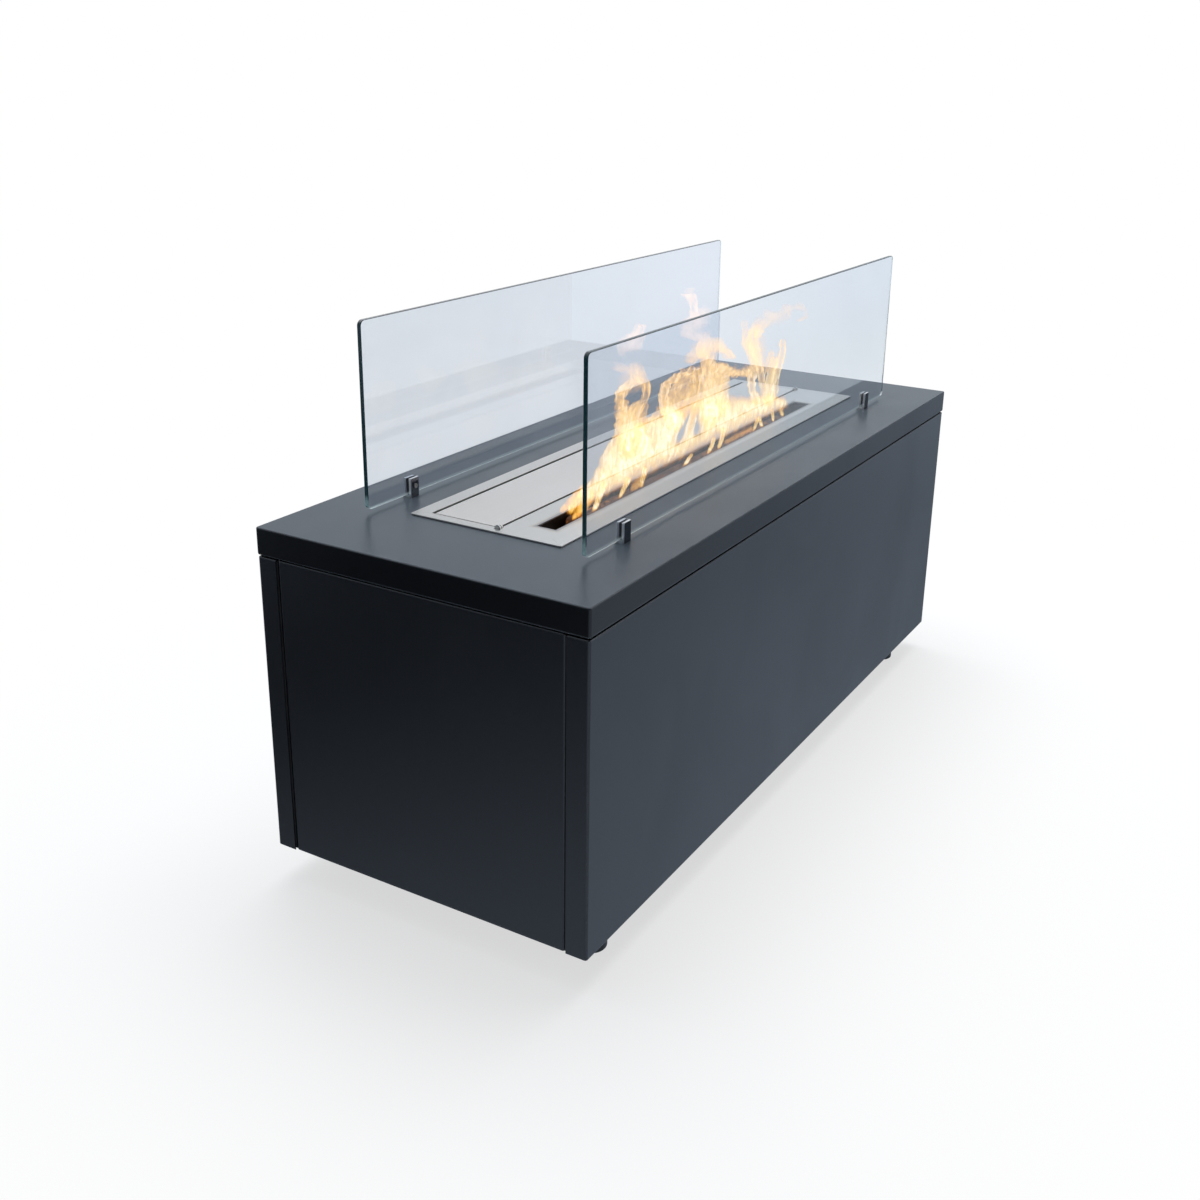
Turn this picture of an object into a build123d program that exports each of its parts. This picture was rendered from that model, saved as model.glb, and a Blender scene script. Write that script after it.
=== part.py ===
from build123d import *

import os

# Free-standing bioethanol fireplace, in millimetres.
#
# A folded sheet-steel housing stands on four levelling feet and carries a flat
# top cover. A stainless burner insert hangs in the cover's cut-out and lifts
# out. Its flip-over lid lies behind the flame slot when open, and turns half a
# turn about the slot side to smother the flame. Two glass panes stand in
# clips, one on each long side.
#
# +X runs along the length and +Z up. The front is the long side at -Y. The
# origin is on the floor, under the middle of the housing.

os.makedirs("parts", exist_ok=True)

# ---------------------------------------------------------------- driving sizes
# top cover: a folded tray, open underneath
cover_length = 1000.0
cover_width = 400.0
cover_height = 30.0
cover_sheet = 2.0
cover_lip = 12.0
cover_corner_radius = 2.8
cover_top_radius = 1.5
cover_bottom_radius = 2.4

# housing
foot_drop = 40.0
panel_height = 338.5
panel_sheet = 1.5
panel_wrap = 24.0
panel_bend = 3.0
panel_edge_radius = 1.2
panel_inset = 0.5
panel_top_lip = 30.0
panel_bottom_lip = 15.0
shadow_gap = 1.5
seam_gap = 2.0
end_recess = 1.0
end_return = 12.0
end_top_lip = 40.0
base_sheet = 2.0
base_upturn = 22.0
fold_clearance = 0.5

# corner posts and support rails
post_leg = 24.0
post_sheet = 2.0
rail_width = 30.0
rail_sheet = 2.0
rail_bend = 3.0
rail_end_clearance = 2.0
stud_radius = 3.0
stud_length = 18.0
stud_inset = 50.0
stud_clearance = 0.3
cover_nut_flats = 10.0
cover_nut_height = 5.0
rivet_radius = 2.4
rivet_head_radius = 4.0
rivet_head_height = 1.2
rivet_edge_distance = 8.0

# screws through the bottom lips into the base plate
base_screw_radius = 2.0
base_screw_head_radius = 4.0
base_screw_head_height = 2.2
base_screw_spacing = 260.0
base_screw_count = 4
base_nut_flats = 7.0
base_nut_height = 3.2

# levelling feet
foot_radius = 17.0
foot_pad_height = 14.0
foot_pad_rounding = 4.0
foot_neck_radius = 9.0
foot_inset_x = 74.0
foot_inset_y = 40.0
stem_radius = 4.0
stem_length = 70.0
stem_seat = 6.0
stem_clearance = 0.05
insert_flange_radius = 8.0
insert_flange_height = 1.0
insert_body_radius = 5.5
insert_body_height = 15.0
foot_nut_flats = 13.0
foot_nut_height = 5.0

# burner insert: rim sheet, flame slot and fuel tank
rim_length = 766.0
rim_width = 188.0
rim_sheet = 1.5
rim_corner_radius = 2.5
rim_edge_radius = 0.4
rim_overlap = 6.5
gasket_height = 0.5
gasket_setback = 2.0
slot_length = 648.0
slot_width = 23.0
slot_shift_x = -21.0
slot_front_land = 31.0
channel_depth = 15.0
channel_sheet = 1.5
tank_near_margin = 5.0
tank_far_margin = 47.0
tank_front_margin = 17.0
tank_back_margin = 20.0
tank_depth = 62.0
tank_sheet = 1.5
wool_clearance = 1.0
wick_near_gap = 45.0
wick_far_gap = 68.0
wick_side_gap = 2.0
wick_top_gap = 1.5
wick_rounding = 6.0

# burner well: the liner that the insert stands in
well_play = 2.5
well_depth = 80.0
well_sheet = 1.5
well_flange = 12.0

# flip-over lid, its hinge and the trough under it
lid_end_land = 13.0
lid_back_land = 18.5
lid_sheet = 1.5
lid_rest_gap = 0.3
lid_end_gap = 0.6
lid_closed_gap = 0.3
hinge_groove = 3.0
lift_groove = 4.5
hinge_y = -11.0
ear_thickness = 2.0
ear_radius = 2.8
ear_root = 3.0
lug_thickness = 2.0
lug_foot = 6.0
notch_half_width = 3.5
notch_end_gap = 0.5
pin_radius = 1.5
pin_clearance = 0.05
pin_head_radius = 2.3
pin_head_height = 1.0
pin_head_gap = 0.2
trough_depth = 12.0
trough_sheet = 1.5
trough_margin = 6.0
rest_bar_width = 12.0
rest_bar_spacing = 300.0
rest_bar_count = 3
rest_bar_setback = 4.5

# glass panes and their clips
glass_length = 810.0
glass_height = 200.0
glass_thickness = 5.0
glass_corner_radius = 6.0
glass_edge_chamfer = 0.6
glass_inset = 66.0
clip_inset = 73.0
clip_length = 14.0
clip_cheek = 2.9
clip_height = 22.0
clip_floor = 3.5
clip_edge_radius = 0.8
pad_sheet = 0.5
pad_play = 0.1
pad_setback = 1.0
set_screw_radius = 2.0
set_screw_height = 13.0
set_screw_head_radius = 2.5
set_screw_head_height = 1.6
set_screw_socket_flats = 2.0
set_screw_socket_depth = 1.0
clip_bolt_radius = 2.0
clip_bolt_head_radius = 3.5
clip_bolt_head_height = 2.6
clip_bolt_depth = 2.8
clip_bolt_clearance = 0.25

# ---------------------------------------------------------------- levels and half sizes
panel_bottom = foot_drop
panel_top = panel_bottom + panel_height
cover_bottom = panel_top + shadow_gap
cover_top = cover_bottom + cover_height
cover_underside = cover_top - cover_sheet

panel_x = cover_length / 2 - panel_inset
panel_y = cover_width / 2 - panel_inset
panel_inner_x = panel_x - panel_sheet
panel_inner_y = panel_y - panel_sheet
end_face_x = panel_x - end_recess
end_inner_x = end_face_x - panel_sheet
end_y = panel_y - panel_wrap - seam_gap
end_bottom = panel_bottom + panel_sheet
base_bottom = panel_bottom + panel_sheet
base_top = base_bottom + base_sheet

rail_outer_x = cover_length / 2 - cover_sheet - cover_lip - fold_clearance
rail_inner_x = rail_outer_x - rail_width
rail_centre_x = (rail_outer_x + rail_inner_x) / 2
rail_half_length = cover_width / 2 - cover_sheet - cover_lip - rail_end_clearance
lip_half_length = end_face_x - end_return - fold_clearance

foot_x = cover_length / 2 - foot_inset_x
foot_y = cover_width / 2 - foot_inset_y
stem_bottom = foot_pad_height - stem_seat

rim_bottom = cover_top + gasket_height
rim_top = rim_bottom + rim_sheet
cutout_length = rim_length - 2 * rim_overlap
cutout_width = rim_width - 2 * rim_overlap
channel_bottom = rim_bottom - channel_depth
tank_bottom = rim_bottom - tank_depth
wool_bottom = tank_bottom + tank_sheet
wool_top = channel_bottom - wool_clearance

slot_near_x = slot_shift_x - slot_length / 2
slot_far_x = slot_shift_x + slot_length / 2
slot_front_y = -rim_width / 2 + slot_front_land
slot_back_y = slot_front_y + slot_width
slot_centre_y = (slot_front_y + slot_back_y) / 2
tank_near_x = slot_near_x - tank_near_margin
tank_far_x = slot_far_x + tank_far_margin
tank_front_y = slot_front_y - tank_front_margin
tank_back_y = slot_back_y + tank_back_margin
tank_length = tank_far_x - tank_near_x
tank_width = tank_back_y - tank_front_y
tank_centre_x = (tank_near_x + tank_far_x) / 2
tank_centre_y = (tank_front_y + tank_back_y) / 2
wick_near_x = slot_near_x + wick_near_gap
wick_far_x = slot_far_x - wick_far_gap

slot_plate_edge_y = hinge_y - hinge_groove / 2
lid_front_y = hinge_y + hinge_groove / 2
lid_opening_back_y = rim_width / 2 - lid_back_land
lid_back_y = lid_opening_back_y - lift_groove
lid_width = lid_back_y - lid_front_y
lid_length = rim_length - 2 * lid_end_land
lid_bottom = rim_bottom + lid_rest_gap
lid_top = lid_bottom + lid_sheet
hinge_z = (lid_top + rim_top + lid_closed_gap) / 2
lid_half_length = lid_length / 2
opening_half_length = lid_half_length + lid_end_gap
lug_inner_x = opening_half_length + trough_sheet
lug_outer_x = lug_inner_x + lug_thickness
pin_head_inner_x = lug_outer_x + pin_head_gap
pin_head_outer_x = pin_head_inner_x + pin_head_height
notch_outer_x = pin_head_outer_x + notch_end_gap
notch_inner_x = lid_half_length - ear_thickness - notch_end_gap
trough_front_y = slot_plate_edge_y - trough_margin
trough_back_y = lid_opening_back_y + trough_margin

glass_centre_y = cover_width / 2 - glass_inset
clip_x = glass_length / 2 - clip_inset
clip_slot = glass_thickness + 2 * (pad_sheet + pad_play)
clip_width = clip_slot + 2 * clip_cheek
clip_slot_bottom = cover_top + clip_floor
glass_bottom = clip_slot_bottom + pad_sheet

sides = (("left", -1), ("right", 1))
faces = (("front", -1), ("back", 1))


def save(builder, name):
    """Label the finished piece and write it as its own STEP file."""
    builder.part.label = name
    export_step(builder.part, f"parts/{name}.step")


# ---------------------------------------------------------------- top cover
with BuildPart() as top_cover:
    with BuildSketch(Plane.XY.offset(cover_bottom)):
        RectangleRounded(cover_length, cover_width, cover_corner_radius)
    extrude(amount=cover_height)
    fillet(top_cover.faces().sort_by(Axis.Z)[-1].edges(), cover_top_radius)
    fillet(top_cover.faces().sort_by(Axis.Z)[0].edges(), cover_bottom_radius)
    with BuildSketch(Plane.XY.offset(cover_bottom + cover_sheet)):
        Rectangle(cover_length - 2 * cover_sheet, cover_width - 2 * cover_sheet)
    extrude(amount=cover_height - 2 * cover_sheet, mode=Mode.SUBTRACT)
    with BuildSketch(Plane.XY.offset(cover_bottom)):
        Rectangle(
            cover_length - 2 * (cover_sheet + cover_lip),
            cover_width - 2 * (cover_sheet + cover_lip),
        )
    extrude(amount=cover_sheet, mode=Mode.SUBTRACT)
    with BuildSketch(Plane.XY.offset(cover_underside)):
        Rectangle(cutout_length, cutout_width)
        with GridLocations(2 * clip_x, 2 * glass_centre_y, 2, 2):
            Circle(clip_bolt_radius + clip_bolt_clearance)
    extrude(amount=cover_sheet, mode=Mode.SUBTRACT)
save(top_cover, "top_cover")

# ---------------------------------------------------------------- long panels
# A C in plan: the long face with a flange wrapped round each end, then a lip
# folded in along the top and the bottom, cut back at the corners.
with BuildPart() as front_panel:
    with BuildSketch(Plane.XY.offset(panel_bottom)):
        with BuildLine():
            FilletPolyline(
                (-panel_x, -panel_y + panel_wrap),
                (-panel_x, -panel_y),
                (panel_x, -panel_y),
                (panel_x, -panel_y + panel_wrap),
                radius=panel_bend,
            )
            offset(amount=panel_sheet, side=Side.LEFT)
        make_face()
    extrude(amount=panel_height)
    with BuildSketch(Plane.XY.offset(panel_top - panel_sheet)):
        with Locations((0, -panel_inner_y)):
            Rectangle(
                2 * lip_half_length,
                panel_top_lip - panel_sheet,
                align=(Align.CENTER, Align.MIN),
            )
    extrude(amount=panel_sheet)
    with BuildSketch(Plane.XY.offset(panel_bottom)):
        with Locations((0, -panel_inner_y)):
            Rectangle(
                2 * lip_half_length,
                panel_bottom_lip - panel_sheet,
                align=(Align.CENTER, Align.MIN),
            )
    extrude(amount=panel_sheet)
    with BuildSketch(Plane.XY.offset(panel_bottom)):
        with Locations((0, -panel_inner_y + panel_bottom_lip / 2)):
            with GridLocations(base_screw_spacing, 1, base_screw_count, 1):
                Circle(base_screw_radius)
    extrude(amount=panel_sheet, mode=Mode.SUBTRACT)
    with BuildSketch(Plane.XY.offset(panel_top - panel_sheet)):
        with Locations((0, -rail_half_length + rivet_edge_distance)):
            with GridLocations(2 * rail_centre_x, 1, 2, 1):
                Circle(rivet_radius)
    extrude(amount=panel_sheet, mode=Mode.SUBTRACT)
    top_fold = front_panel.edges().group_by(Axis.Z)[-1].sort_by(Axis.Y)[0]
    fillet(top_fold, panel_edge_radius)
    bottom_fold = front_panel.edges().group_by(Axis.Z)[0].sort_by(Axis.Y)[0]
    fillet(bottom_fold, panel_edge_radius)
save(front_panel, "front_panel")

with BuildPart() as back_panel:
    mirror(front_panel.part, about=Plane.XZ)
save(back_panel, "back_panel")

# ---------------------------------------------------------------- end panels
# A tray on edge between the flanges, with folded side returns and a top lip
# that the support rail stands on. The returns stop above the base plate.
with BuildPart() as end_panel_right:
    with BuildSketch(Plane.XY.offset(end_bottom)):
        with BuildLine():
            FilletPolyline(
                (end_face_x - end_return, -end_y),
                (end_face_x, -end_y),
                (end_face_x, end_y),
                (end_face_x - end_return, end_y),
                radius=panel_bend,
            )
            offset(amount=panel_sheet, side=Side.LEFT)
        make_face()
    extrude(amount=panel_top - end_bottom)
    with BuildSketch(Plane.XY.offset(end_bottom)):
        with Locations((end_inner_x, 0)):
            Rectangle(end_return, 2 * end_y, align=(Align.MAX, Align.CENTER))
    extrude(amount=base_sheet + fold_clearance, mode=Mode.SUBTRACT)
    with BuildSketch(Plane.XY.offset(panel_top - panel_sheet)):
        with Locations((end_inner_x, 0)):
            Rectangle(
                end_top_lip,
                2 * (panel_y - panel_top_lip - fold_clearance),
                align=(Align.MAX, Align.CENTER),
            )
    extrude(amount=panel_sheet)
    top_fold = end_panel_right.edges().group_by(Axis.Z)[-1].sort_by(Axis.X)[-1]
    fillet(top_fold, panel_edge_radius)
save(end_panel_right, "end_panel_right")

with BuildPart() as end_panel_left:
    mirror(end_panel_right.part, about=Plane.YZ)
save(end_panel_left, "end_panel_left")

# ---------------------------------------------------------------- base plate
with BuildPart() as base_plate:
    with BuildSketch(Plane.XY.offset(base_bottom)):
        Rectangle(2 * end_inner_x, 2 * (panel_inner_y - fold_clearance))
    extrude(amount=base_sheet)
    with BuildSketch(Plane.XY.offset(base_top)):
        for side_name, side in sides:
            with Locations((side * (end_inner_x - base_sheet / 2), 0)):
                Rectangle(base_sheet, 2 * (end_y - panel_bend - panel_sheet))
    extrude(amount=base_upturn)
    with BuildSketch(Plane.XY.offset(base_bottom)):
        with GridLocations(2 * foot_x, 2 * foot_y, 2, 2):
            Circle(insert_body_radius)
        for face_name, face in faces:
            with Locations((0, face * (panel_inner_y - panel_bottom_lip / 2))):
                with GridLocations(base_screw_spacing, 1, base_screw_count, 1):
                    Circle(base_screw_radius)
    extrude(amount=base_sheet, mode=Mode.SUBTRACT)
save(base_plate, "base_plate")

# ---------------------------------------------------------------- corner posts
for side_name, side in sides:
    for face_name, face in faces:
        corner_x = side * panel_inner_x
        corner_y = face * panel_inner_y
        with BuildPart() as corner_post:
            with BuildSketch(Plane.XY.offset(base_top)):
                with BuildLine():
                    Polyline(
                        (corner_x, corner_y),
                        (corner_x - side * post_leg, corner_y),
                        (corner_x - side * post_leg, corner_y - face * post_sheet),
                        (corner_x - side * post_sheet, corner_y - face * post_sheet),
                        (corner_x - side * post_sheet, corner_y - face * post_leg),
                        (corner_x, corner_y - face * post_leg),
                        close=True,
                    )
                make_face()
            extrude(amount=panel_top - panel_sheet - base_top)
            corner_edge = corner_post.edges().filter_by(Axis.Z).sort_by_distance(
                (corner_x, corner_y, base_top)
            )[0]
            fillet(corner_edge, panel_bend - panel_sheet)
        save(corner_post, f"corner_post_{face_name}_{side_name}")

# ---------------------------------------------------------------- support rails
# Channels that stand on the panels' top lips and carry the cover's weight.
for side_name, side in sides:
    with BuildPart() as support_rail:
        with BuildSketch(Plane.XZ):
            with BuildLine():
                FilletPolyline(
                    (side * rail_inner_x, panel_top),
                    (side * rail_outer_x, panel_top),
                    (side * rail_outer_x, cover_underside),
                    (side * rail_inner_x, cover_underside),
                    radius=rail_bend,
                )
                offset(
                    amount=rail_sheet,
                    side=Side.LEFT if side > 0 else Side.RIGHT,
                )
            make_face()
        extrude(amount=rail_half_length, both=True)
        with BuildSketch(Plane.XY.offset(cover_underside - rail_sheet)):
            with Locations((side * rail_centre_x, 0)):
                with GridLocations(1, 2 * (cover_width / 2 - stud_inset), 1, 2):
                    Circle(stud_radius + stud_clearance)
        extrude(amount=rail_sheet, mode=Mode.SUBTRACT)
        with BuildSketch(Plane.XY.offset(panel_top)):
            with Locations((side * rail_centre_x, 0)):
                with GridLocations(1, 2 * (rail_half_length - rivet_edge_distance), 1, 2):
                    Circle(rivet_radius)
        extrude(amount=rail_sheet, mode=Mode.SUBTRACT)
    save(support_rail, f"support_rail_{side_name}")

stud_span_x = 2 * rail_centre_x
stud_span_y = 2 * (cover_width / 2 - stud_inset)

with BuildPart() as cover_studs:
    with BuildSketch(Plane.XY.offset(cover_underside)):
        with GridLocations(stud_span_x, stud_span_y, 2, 2):
            Circle(stud_radius)
    extrude(amount=-stud_length)
    chamfer(cover_studs.faces().filter_by(Axis.Z).group_by(Axis.Z)[0].edges(), stud_radius / 5)
save(cover_studs, "cover_studs")

with BuildPart() as cover_nuts:
    with BuildSketch(Plane.XY.offset(cover_underside - rail_sheet)):
        with GridLocations(stud_span_x, stud_span_y, 2, 2):
            RegularPolygon(cover_nut_flats / 2, 6, major_radius=False)
            Circle(stud_radius, mode=Mode.SUBTRACT)
    extrude(amount=-cover_nut_height)
save(cover_nuts, "cover_nuts")

rivet_span_x = 2 * rail_centre_x
rivet_span_y = 2 * (rail_half_length - rivet_edge_distance)

with BuildPart() as rail_rivets:
    with BuildSketch(Plane.XY.offset(panel_top - panel_sheet)):
        with GridLocations(rivet_span_x, rivet_span_y, 2, 2):
            Circle(rivet_radius)
    extrude(amount=panel_sheet + rail_sheet)
    with BuildSketch(Plane.XY.offset(panel_top + rail_sheet)):
        with GridLocations(rivet_span_x, rivet_span_y, 2, 2):
            Circle(rivet_head_radius)
    extrude(amount=rivet_head_height)
    with BuildSketch(Plane.XY.offset(panel_top - panel_sheet)):
        with GridLocations(rivet_span_x, rivet_span_y, 2, 2):
            Circle(rivet_head_radius)
    extrude(amount=-rivet_head_height)
save(rail_rivets, "rail_rivets")

# ---------------------------------------------------------------- base screws and nuts
base_screw_span_y = 2 * (panel_inner_y - panel_bottom_lip / 2)

with BuildPart() as base_screws:
    with BuildSketch(Plane.XY.offset(panel_bottom)):
        with GridLocations(base_screw_spacing, base_screw_span_y, base_screw_count, 2):
            Circle(base_screw_head_radius)
    extrude(amount=-base_screw_head_height)
    fillet(
        base_screws.faces().filter_by(Axis.Z).group_by(Axis.Z)[0].edges(),
        base_screw_head_height / 2,
    )
    with BuildSketch(Plane.XY.offset(panel_bottom)):
        with GridLocations(base_screw_spacing, base_screw_span_y, base_screw_count, 2):
            Circle(base_screw_radius)
    extrude(amount=panel_sheet + base_sheet + base_nut_height + base_screw_radius / 2)
save(base_screws, "base_screws")

with BuildPart() as base_nuts:
    with BuildSketch(Plane.XY.offset(base_top)):
        with GridLocations(base_screw_spacing, base_screw_span_y, base_screw_count, 2):
            RegularPolygon(base_nut_flats / 2, 6, major_radius=False)
            Circle(base_screw_radius, mode=Mode.SUBTRACT)
    extrude(amount=base_nut_height)
save(base_nuts, "base_nuts")

# ---------------------------------------------------------------- levelling feet
foot_span_x = 2 * foot_x
foot_span_y = 2 * foot_y

with BuildPart() as foot_inserts:
    with BuildSketch(Plane.XY.offset(base_bottom)):
        with GridLocations(foot_span_x, foot_span_y, 2, 2):
            Circle(insert_flange_radius)
    extrude(amount=-insert_flange_height)
    with BuildSketch(Plane.XY.offset(base_bottom)):
        with GridLocations(foot_span_x, foot_span_y, 2, 2):
            Circle(insert_body_radius)
    extrude(amount=insert_body_height)
    with BuildSketch(Plane.XY.offset(base_bottom - insert_flange_height)):
        with GridLocations(foot_span_x, foot_span_y, 2, 2):
            Circle(stem_radius + stem_clearance)
    extrude(amount=insert_flange_height + insert_body_height, mode=Mode.SUBTRACT)
save(foot_inserts, "foot_inserts")

with BuildPart() as foot_nuts:
    with BuildSketch(Plane.XY.offset(base_bottom - insert_flange_height)):
        with GridLocations(foot_span_x, foot_span_y, 2, 2):
            RegularPolygon(foot_nut_flats / 2, 6, major_radius=False)
            Circle(stem_radius + stem_clearance, mode=Mode.SUBTRACT)
    extrude(amount=-foot_nut_height)
save(foot_nuts, "foot_nuts")

for side_name, side in sides:
    for face_name, face in faces:
        foot_centre = (side * foot_x, face * foot_y)
        with BuildPart() as foot_pad:
            with BuildSketch(Plane.XY):
                with Locations(foot_centre):
                    Circle(foot_radius)
            extrude(amount=foot_pad_height - foot_pad_rounding)
            with BuildSketch(Plane.XY.offset(foot_pad_height - foot_pad_rounding)):
                with Locations(foot_centre):
                    Circle(foot_radius)
            with BuildSketch(Plane.XY.offset(foot_pad_height)):
                with Locations(foot_centre):
                    Circle(foot_neck_radius)
            loft()
            fillet(foot_pad.faces().sort_by(Axis.Z)[0].edges(), foot_pad_rounding / 2)
            with BuildSketch(Plane.XY.offset(stem_bottom)):
                with Locations(foot_centre):
                    Circle(stem_radius)
            extrude(amount=stem_seat, mode=Mode.SUBTRACT)
        save(foot_pad, f"foot_pad_{face_name}_{side_name}")

        with BuildPart() as foot_stem:
            with BuildSketch(Plane.XY.offset(stem_bottom)):
                with Locations(foot_centre):
                    Circle(stem_radius)
            extrude(amount=stem_length)
            chamfer(foot_stem.faces().sort_by(Axis.Z)[-1].edges(), stem_radius / 5)
        save(foot_stem, f"foot_stem_{face_name}_{side_name}")

# ---------------------------------------------------------------- burner well
well_length = cutout_length + 2 * well_play
well_width = cutout_width + 2 * well_play

with BuildPart() as burner_well:
    with BuildSketch(Plane.XY.offset(cover_underside)):
        Rectangle(well_length + 2 * well_flange, well_width + 2 * well_flange)
    extrude(amount=-well_sheet)
    with BuildSketch(Plane.XY.offset(cover_underside)):
        Rectangle(well_length + 2 * well_sheet, well_width + 2 * well_sheet)
    extrude(amount=-well_depth)
    with BuildSketch(Plane.XY.offset(cover_underside)):
        Rectangle(well_length, well_width)
    extrude(amount=-(well_depth - well_sheet), mode=Mode.SUBTRACT)
save(burner_well, "burner_well")

# ---------------------------------------------------------------- burner insert
with BuildPart() as rim_gasket:
    with BuildSketch(Plane.XY.offset(cover_top)):
        Rectangle(rim_length - 2 * gasket_setback, rim_width - 2 * gasket_setback)
        Rectangle(cutout_length, cutout_width, mode=Mode.SUBTRACT)
    extrude(amount=gasket_height)
save(rim_gasket, "rim_gasket")

with BuildPart() as burner_rim:
    with BuildSketch(Plane.XY.offset(rim_bottom)):
        RectangleRounded(rim_length, rim_width, rim_corner_radius)
    extrude(amount=rim_sheet)
    fillet(burner_rim.faces().sort_by(Axis.Z)[-1].edges(), rim_edge_radius)
    with BuildSketch(Plane.XY.offset(rim_bottom)):
        with Locations((slot_shift_x, slot_centre_y)):
            Rectangle(slot_length, slot_width)
        with Locations((0, slot_plate_edge_y)):
            Rectangle(
                2 * opening_half_length,
                lid_opening_back_y - slot_plate_edge_y,
                align=(Align.CENTER, Align.MIN),
            )
        for side_name, side in sides:
            with Locations((side * (notch_inner_x + notch_outer_x) / 2, hinge_y)):
                Rectangle(notch_outer_x - notch_inner_x, 2 * notch_half_width)
    extrude(amount=rim_sheet, mode=Mode.SUBTRACT)
save(burner_rim, "burner_rim")

with BuildPart() as flame_channel:
    with BuildSketch(Plane.XY.offset(rim_bottom)):
        with Locations((slot_shift_x, slot_centre_y)):
            Rectangle(slot_length + 2 * channel_sheet, slot_width + 2 * channel_sheet)
            Rectangle(slot_length, slot_width, mode=Mode.SUBTRACT)
    extrude(amount=-channel_depth)
save(flame_channel, "flame_channel")

with BuildPart() as fuel_tank:
    with BuildSketch(Plane.XY.offset(rim_bottom)):
        with Locations((tank_centre_x, tank_centre_y)):
            Rectangle(tank_length, tank_width)
    extrude(amount=-tank_depth)
    with BuildSketch(Plane.XY.offset(rim_bottom)):
        with Locations((tank_centre_x, tank_centre_y)):
            Rectangle(tank_length - 2 * tank_sheet, tank_width - 2 * tank_sheet)
    extrude(amount=-(tank_depth - tank_sheet), mode=Mode.SUBTRACT)
save(fuel_tank, "fuel_tank")

with BuildPart() as ceramic_wool:
    with BuildSketch(Plane.XY.offset(wool_bottom)):
        with Locations((tank_centre_x, tank_centre_y)):
            Rectangle(
                tank_length - 2 * (tank_sheet + wool_clearance),
                tank_width - 2 * (tank_sheet + wool_clearance),
            )
    extrude(amount=wool_top - wool_bottom)
    fillet(ceramic_wool.edges().filter_by(Axis.Z), wool_clearance)
save(ceramic_wool, "ceramic_wool")

# The scorched wick roll lies on the wool, inside the flame channel.
wick_width = slot_width - 2 * wick_side_gap
wick_height = rim_bottom - wick_top_gap - wool_top

with BuildPart() as wick_roll:
    with BuildSketch(Plane.YZ.offset(wick_near_x)):
        with Locations((slot_centre_y, wool_top + wick_height / 2)):
            RectangleRounded(wick_width, wick_height, wick_rounding)
    extrude(amount=wick_far_x - wick_near_x)
save(wick_roll, "wick_roll")

# ---------------------------------------------------------------- lid trough and rests
trough_centre_y = (trough_front_y + trough_back_y) / 2
trough_width = trough_back_y - trough_front_y

with BuildPart() as lid_trough:
    with BuildSketch(Plane.XY.offset(rim_bottom)):
        with Locations((0, trough_centre_y)):
            Rectangle(2 * lug_inner_x, trough_width)
    extrude(amount=-trough_depth)
    with BuildSketch(Plane.XY.offset(rim_bottom)):
        with Locations((0, trough_centre_y)):
            Rectangle(2 * opening_half_length, trough_width - 2 * trough_sheet)
    extrude(amount=-(trough_depth - trough_sheet), mode=Mode.SUBTRACT)
save(lid_trough, "lid_trough")

with BuildPart() as lid_rest_bars:
    with BuildSketch(Plane.XY.offset(rim_bottom)):
        with Locations((0, (lid_front_y + lid_back_y) / 2)):
            with GridLocations(rest_bar_spacing, 1, rest_bar_count, 1):
                Rectangle(rest_bar_width, lid_width - 2 * rest_bar_setback)
    extrude(amount=-(trough_depth - trough_sheet))
save(lid_rest_bars, "lid_rest_bars")

# ---------------------------------------------------------------- lid hinge
# The lugs stand outside the trough's end walls and rise through the rim.
with BuildPart() as hinge_lugs:
    for side_name, side in sides:
        with BuildSketch(Plane.YZ.offset(side * (lug_inner_x + lug_outer_x) / 2)):
            with Locations((hinge_y, rim_bottom - lug_foot)):
                Rectangle(
                    2 * notch_half_width,
                    hinge_z - rim_bottom + lug_foot,
                    align=(Align.CENTER, Align.MIN),
                )
            with Locations((hinge_y, hinge_z)):
                Circle(notch_half_width)
            with Locations((hinge_y, hinge_z)):
                Circle(pin_radius + pin_clearance, mode=Mode.SUBTRACT)
        extrude(amount=lug_thickness / 2, both=True)
save(hinge_lugs, "hinge_lugs")

with BuildPart() as shutter_lid:
    with BuildSketch(Plane.XY.offset(lid_bottom)):
        with Locations((0, lid_front_y)):
            Rectangle(lid_length, lid_width, align=(Align.CENTER, Align.MIN))
    extrude(amount=lid_sheet)
    for side_name, side in sides:
        with BuildSketch(Plane.YZ.offset(side * (lid_half_length - ear_thickness / 2))):
            with Locations((hinge_y, hinge_z)):
                Circle(ear_radius)
            with Locations((hinge_y, lid_bottom)):
                Rectangle(ear_root, hinge_z - lid_bottom, align=(Align.MIN, Align.MIN))
        extrude(amount=ear_thickness / 2, both=True)
        with BuildSketch(Plane.YZ.offset(side * (lid_half_length - ear_thickness / 2))):
            with Locations((hinge_y, hinge_z)):
                Circle(pin_radius)
        extrude(amount=ear_thickness / 2, both=True, mode=Mode.SUBTRACT)
save(shutter_lid, "shutter_lid")

with BuildPart() as hinge_pins:
    for side_name, side in sides:
        pin_inner_x = lid_half_length - ear_thickness
        with BuildSketch(Plane.YZ.offset(side * (pin_inner_x + pin_head_outer_x) / 2)):
            with Locations((hinge_y, hinge_z)):
                Circle(pin_radius)
        extrude(amount=(pin_head_outer_x - pin_inner_x) / 2, both=True)
        with BuildSketch(Plane.YZ.offset(side * (pin_head_inner_x + pin_head_outer_x) / 2)):
            with Locations((hinge_y, hinge_z)):
                Circle(pin_head_radius)
        extrude(amount=pin_head_height / 2, both=True)
save(hinge_pins, "hinge_pins")

# ---------------------------------------------------------------- glass clips
clip_span_x = 2 * clip_x
clip_span_y = 2 * glass_centre_y

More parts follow.
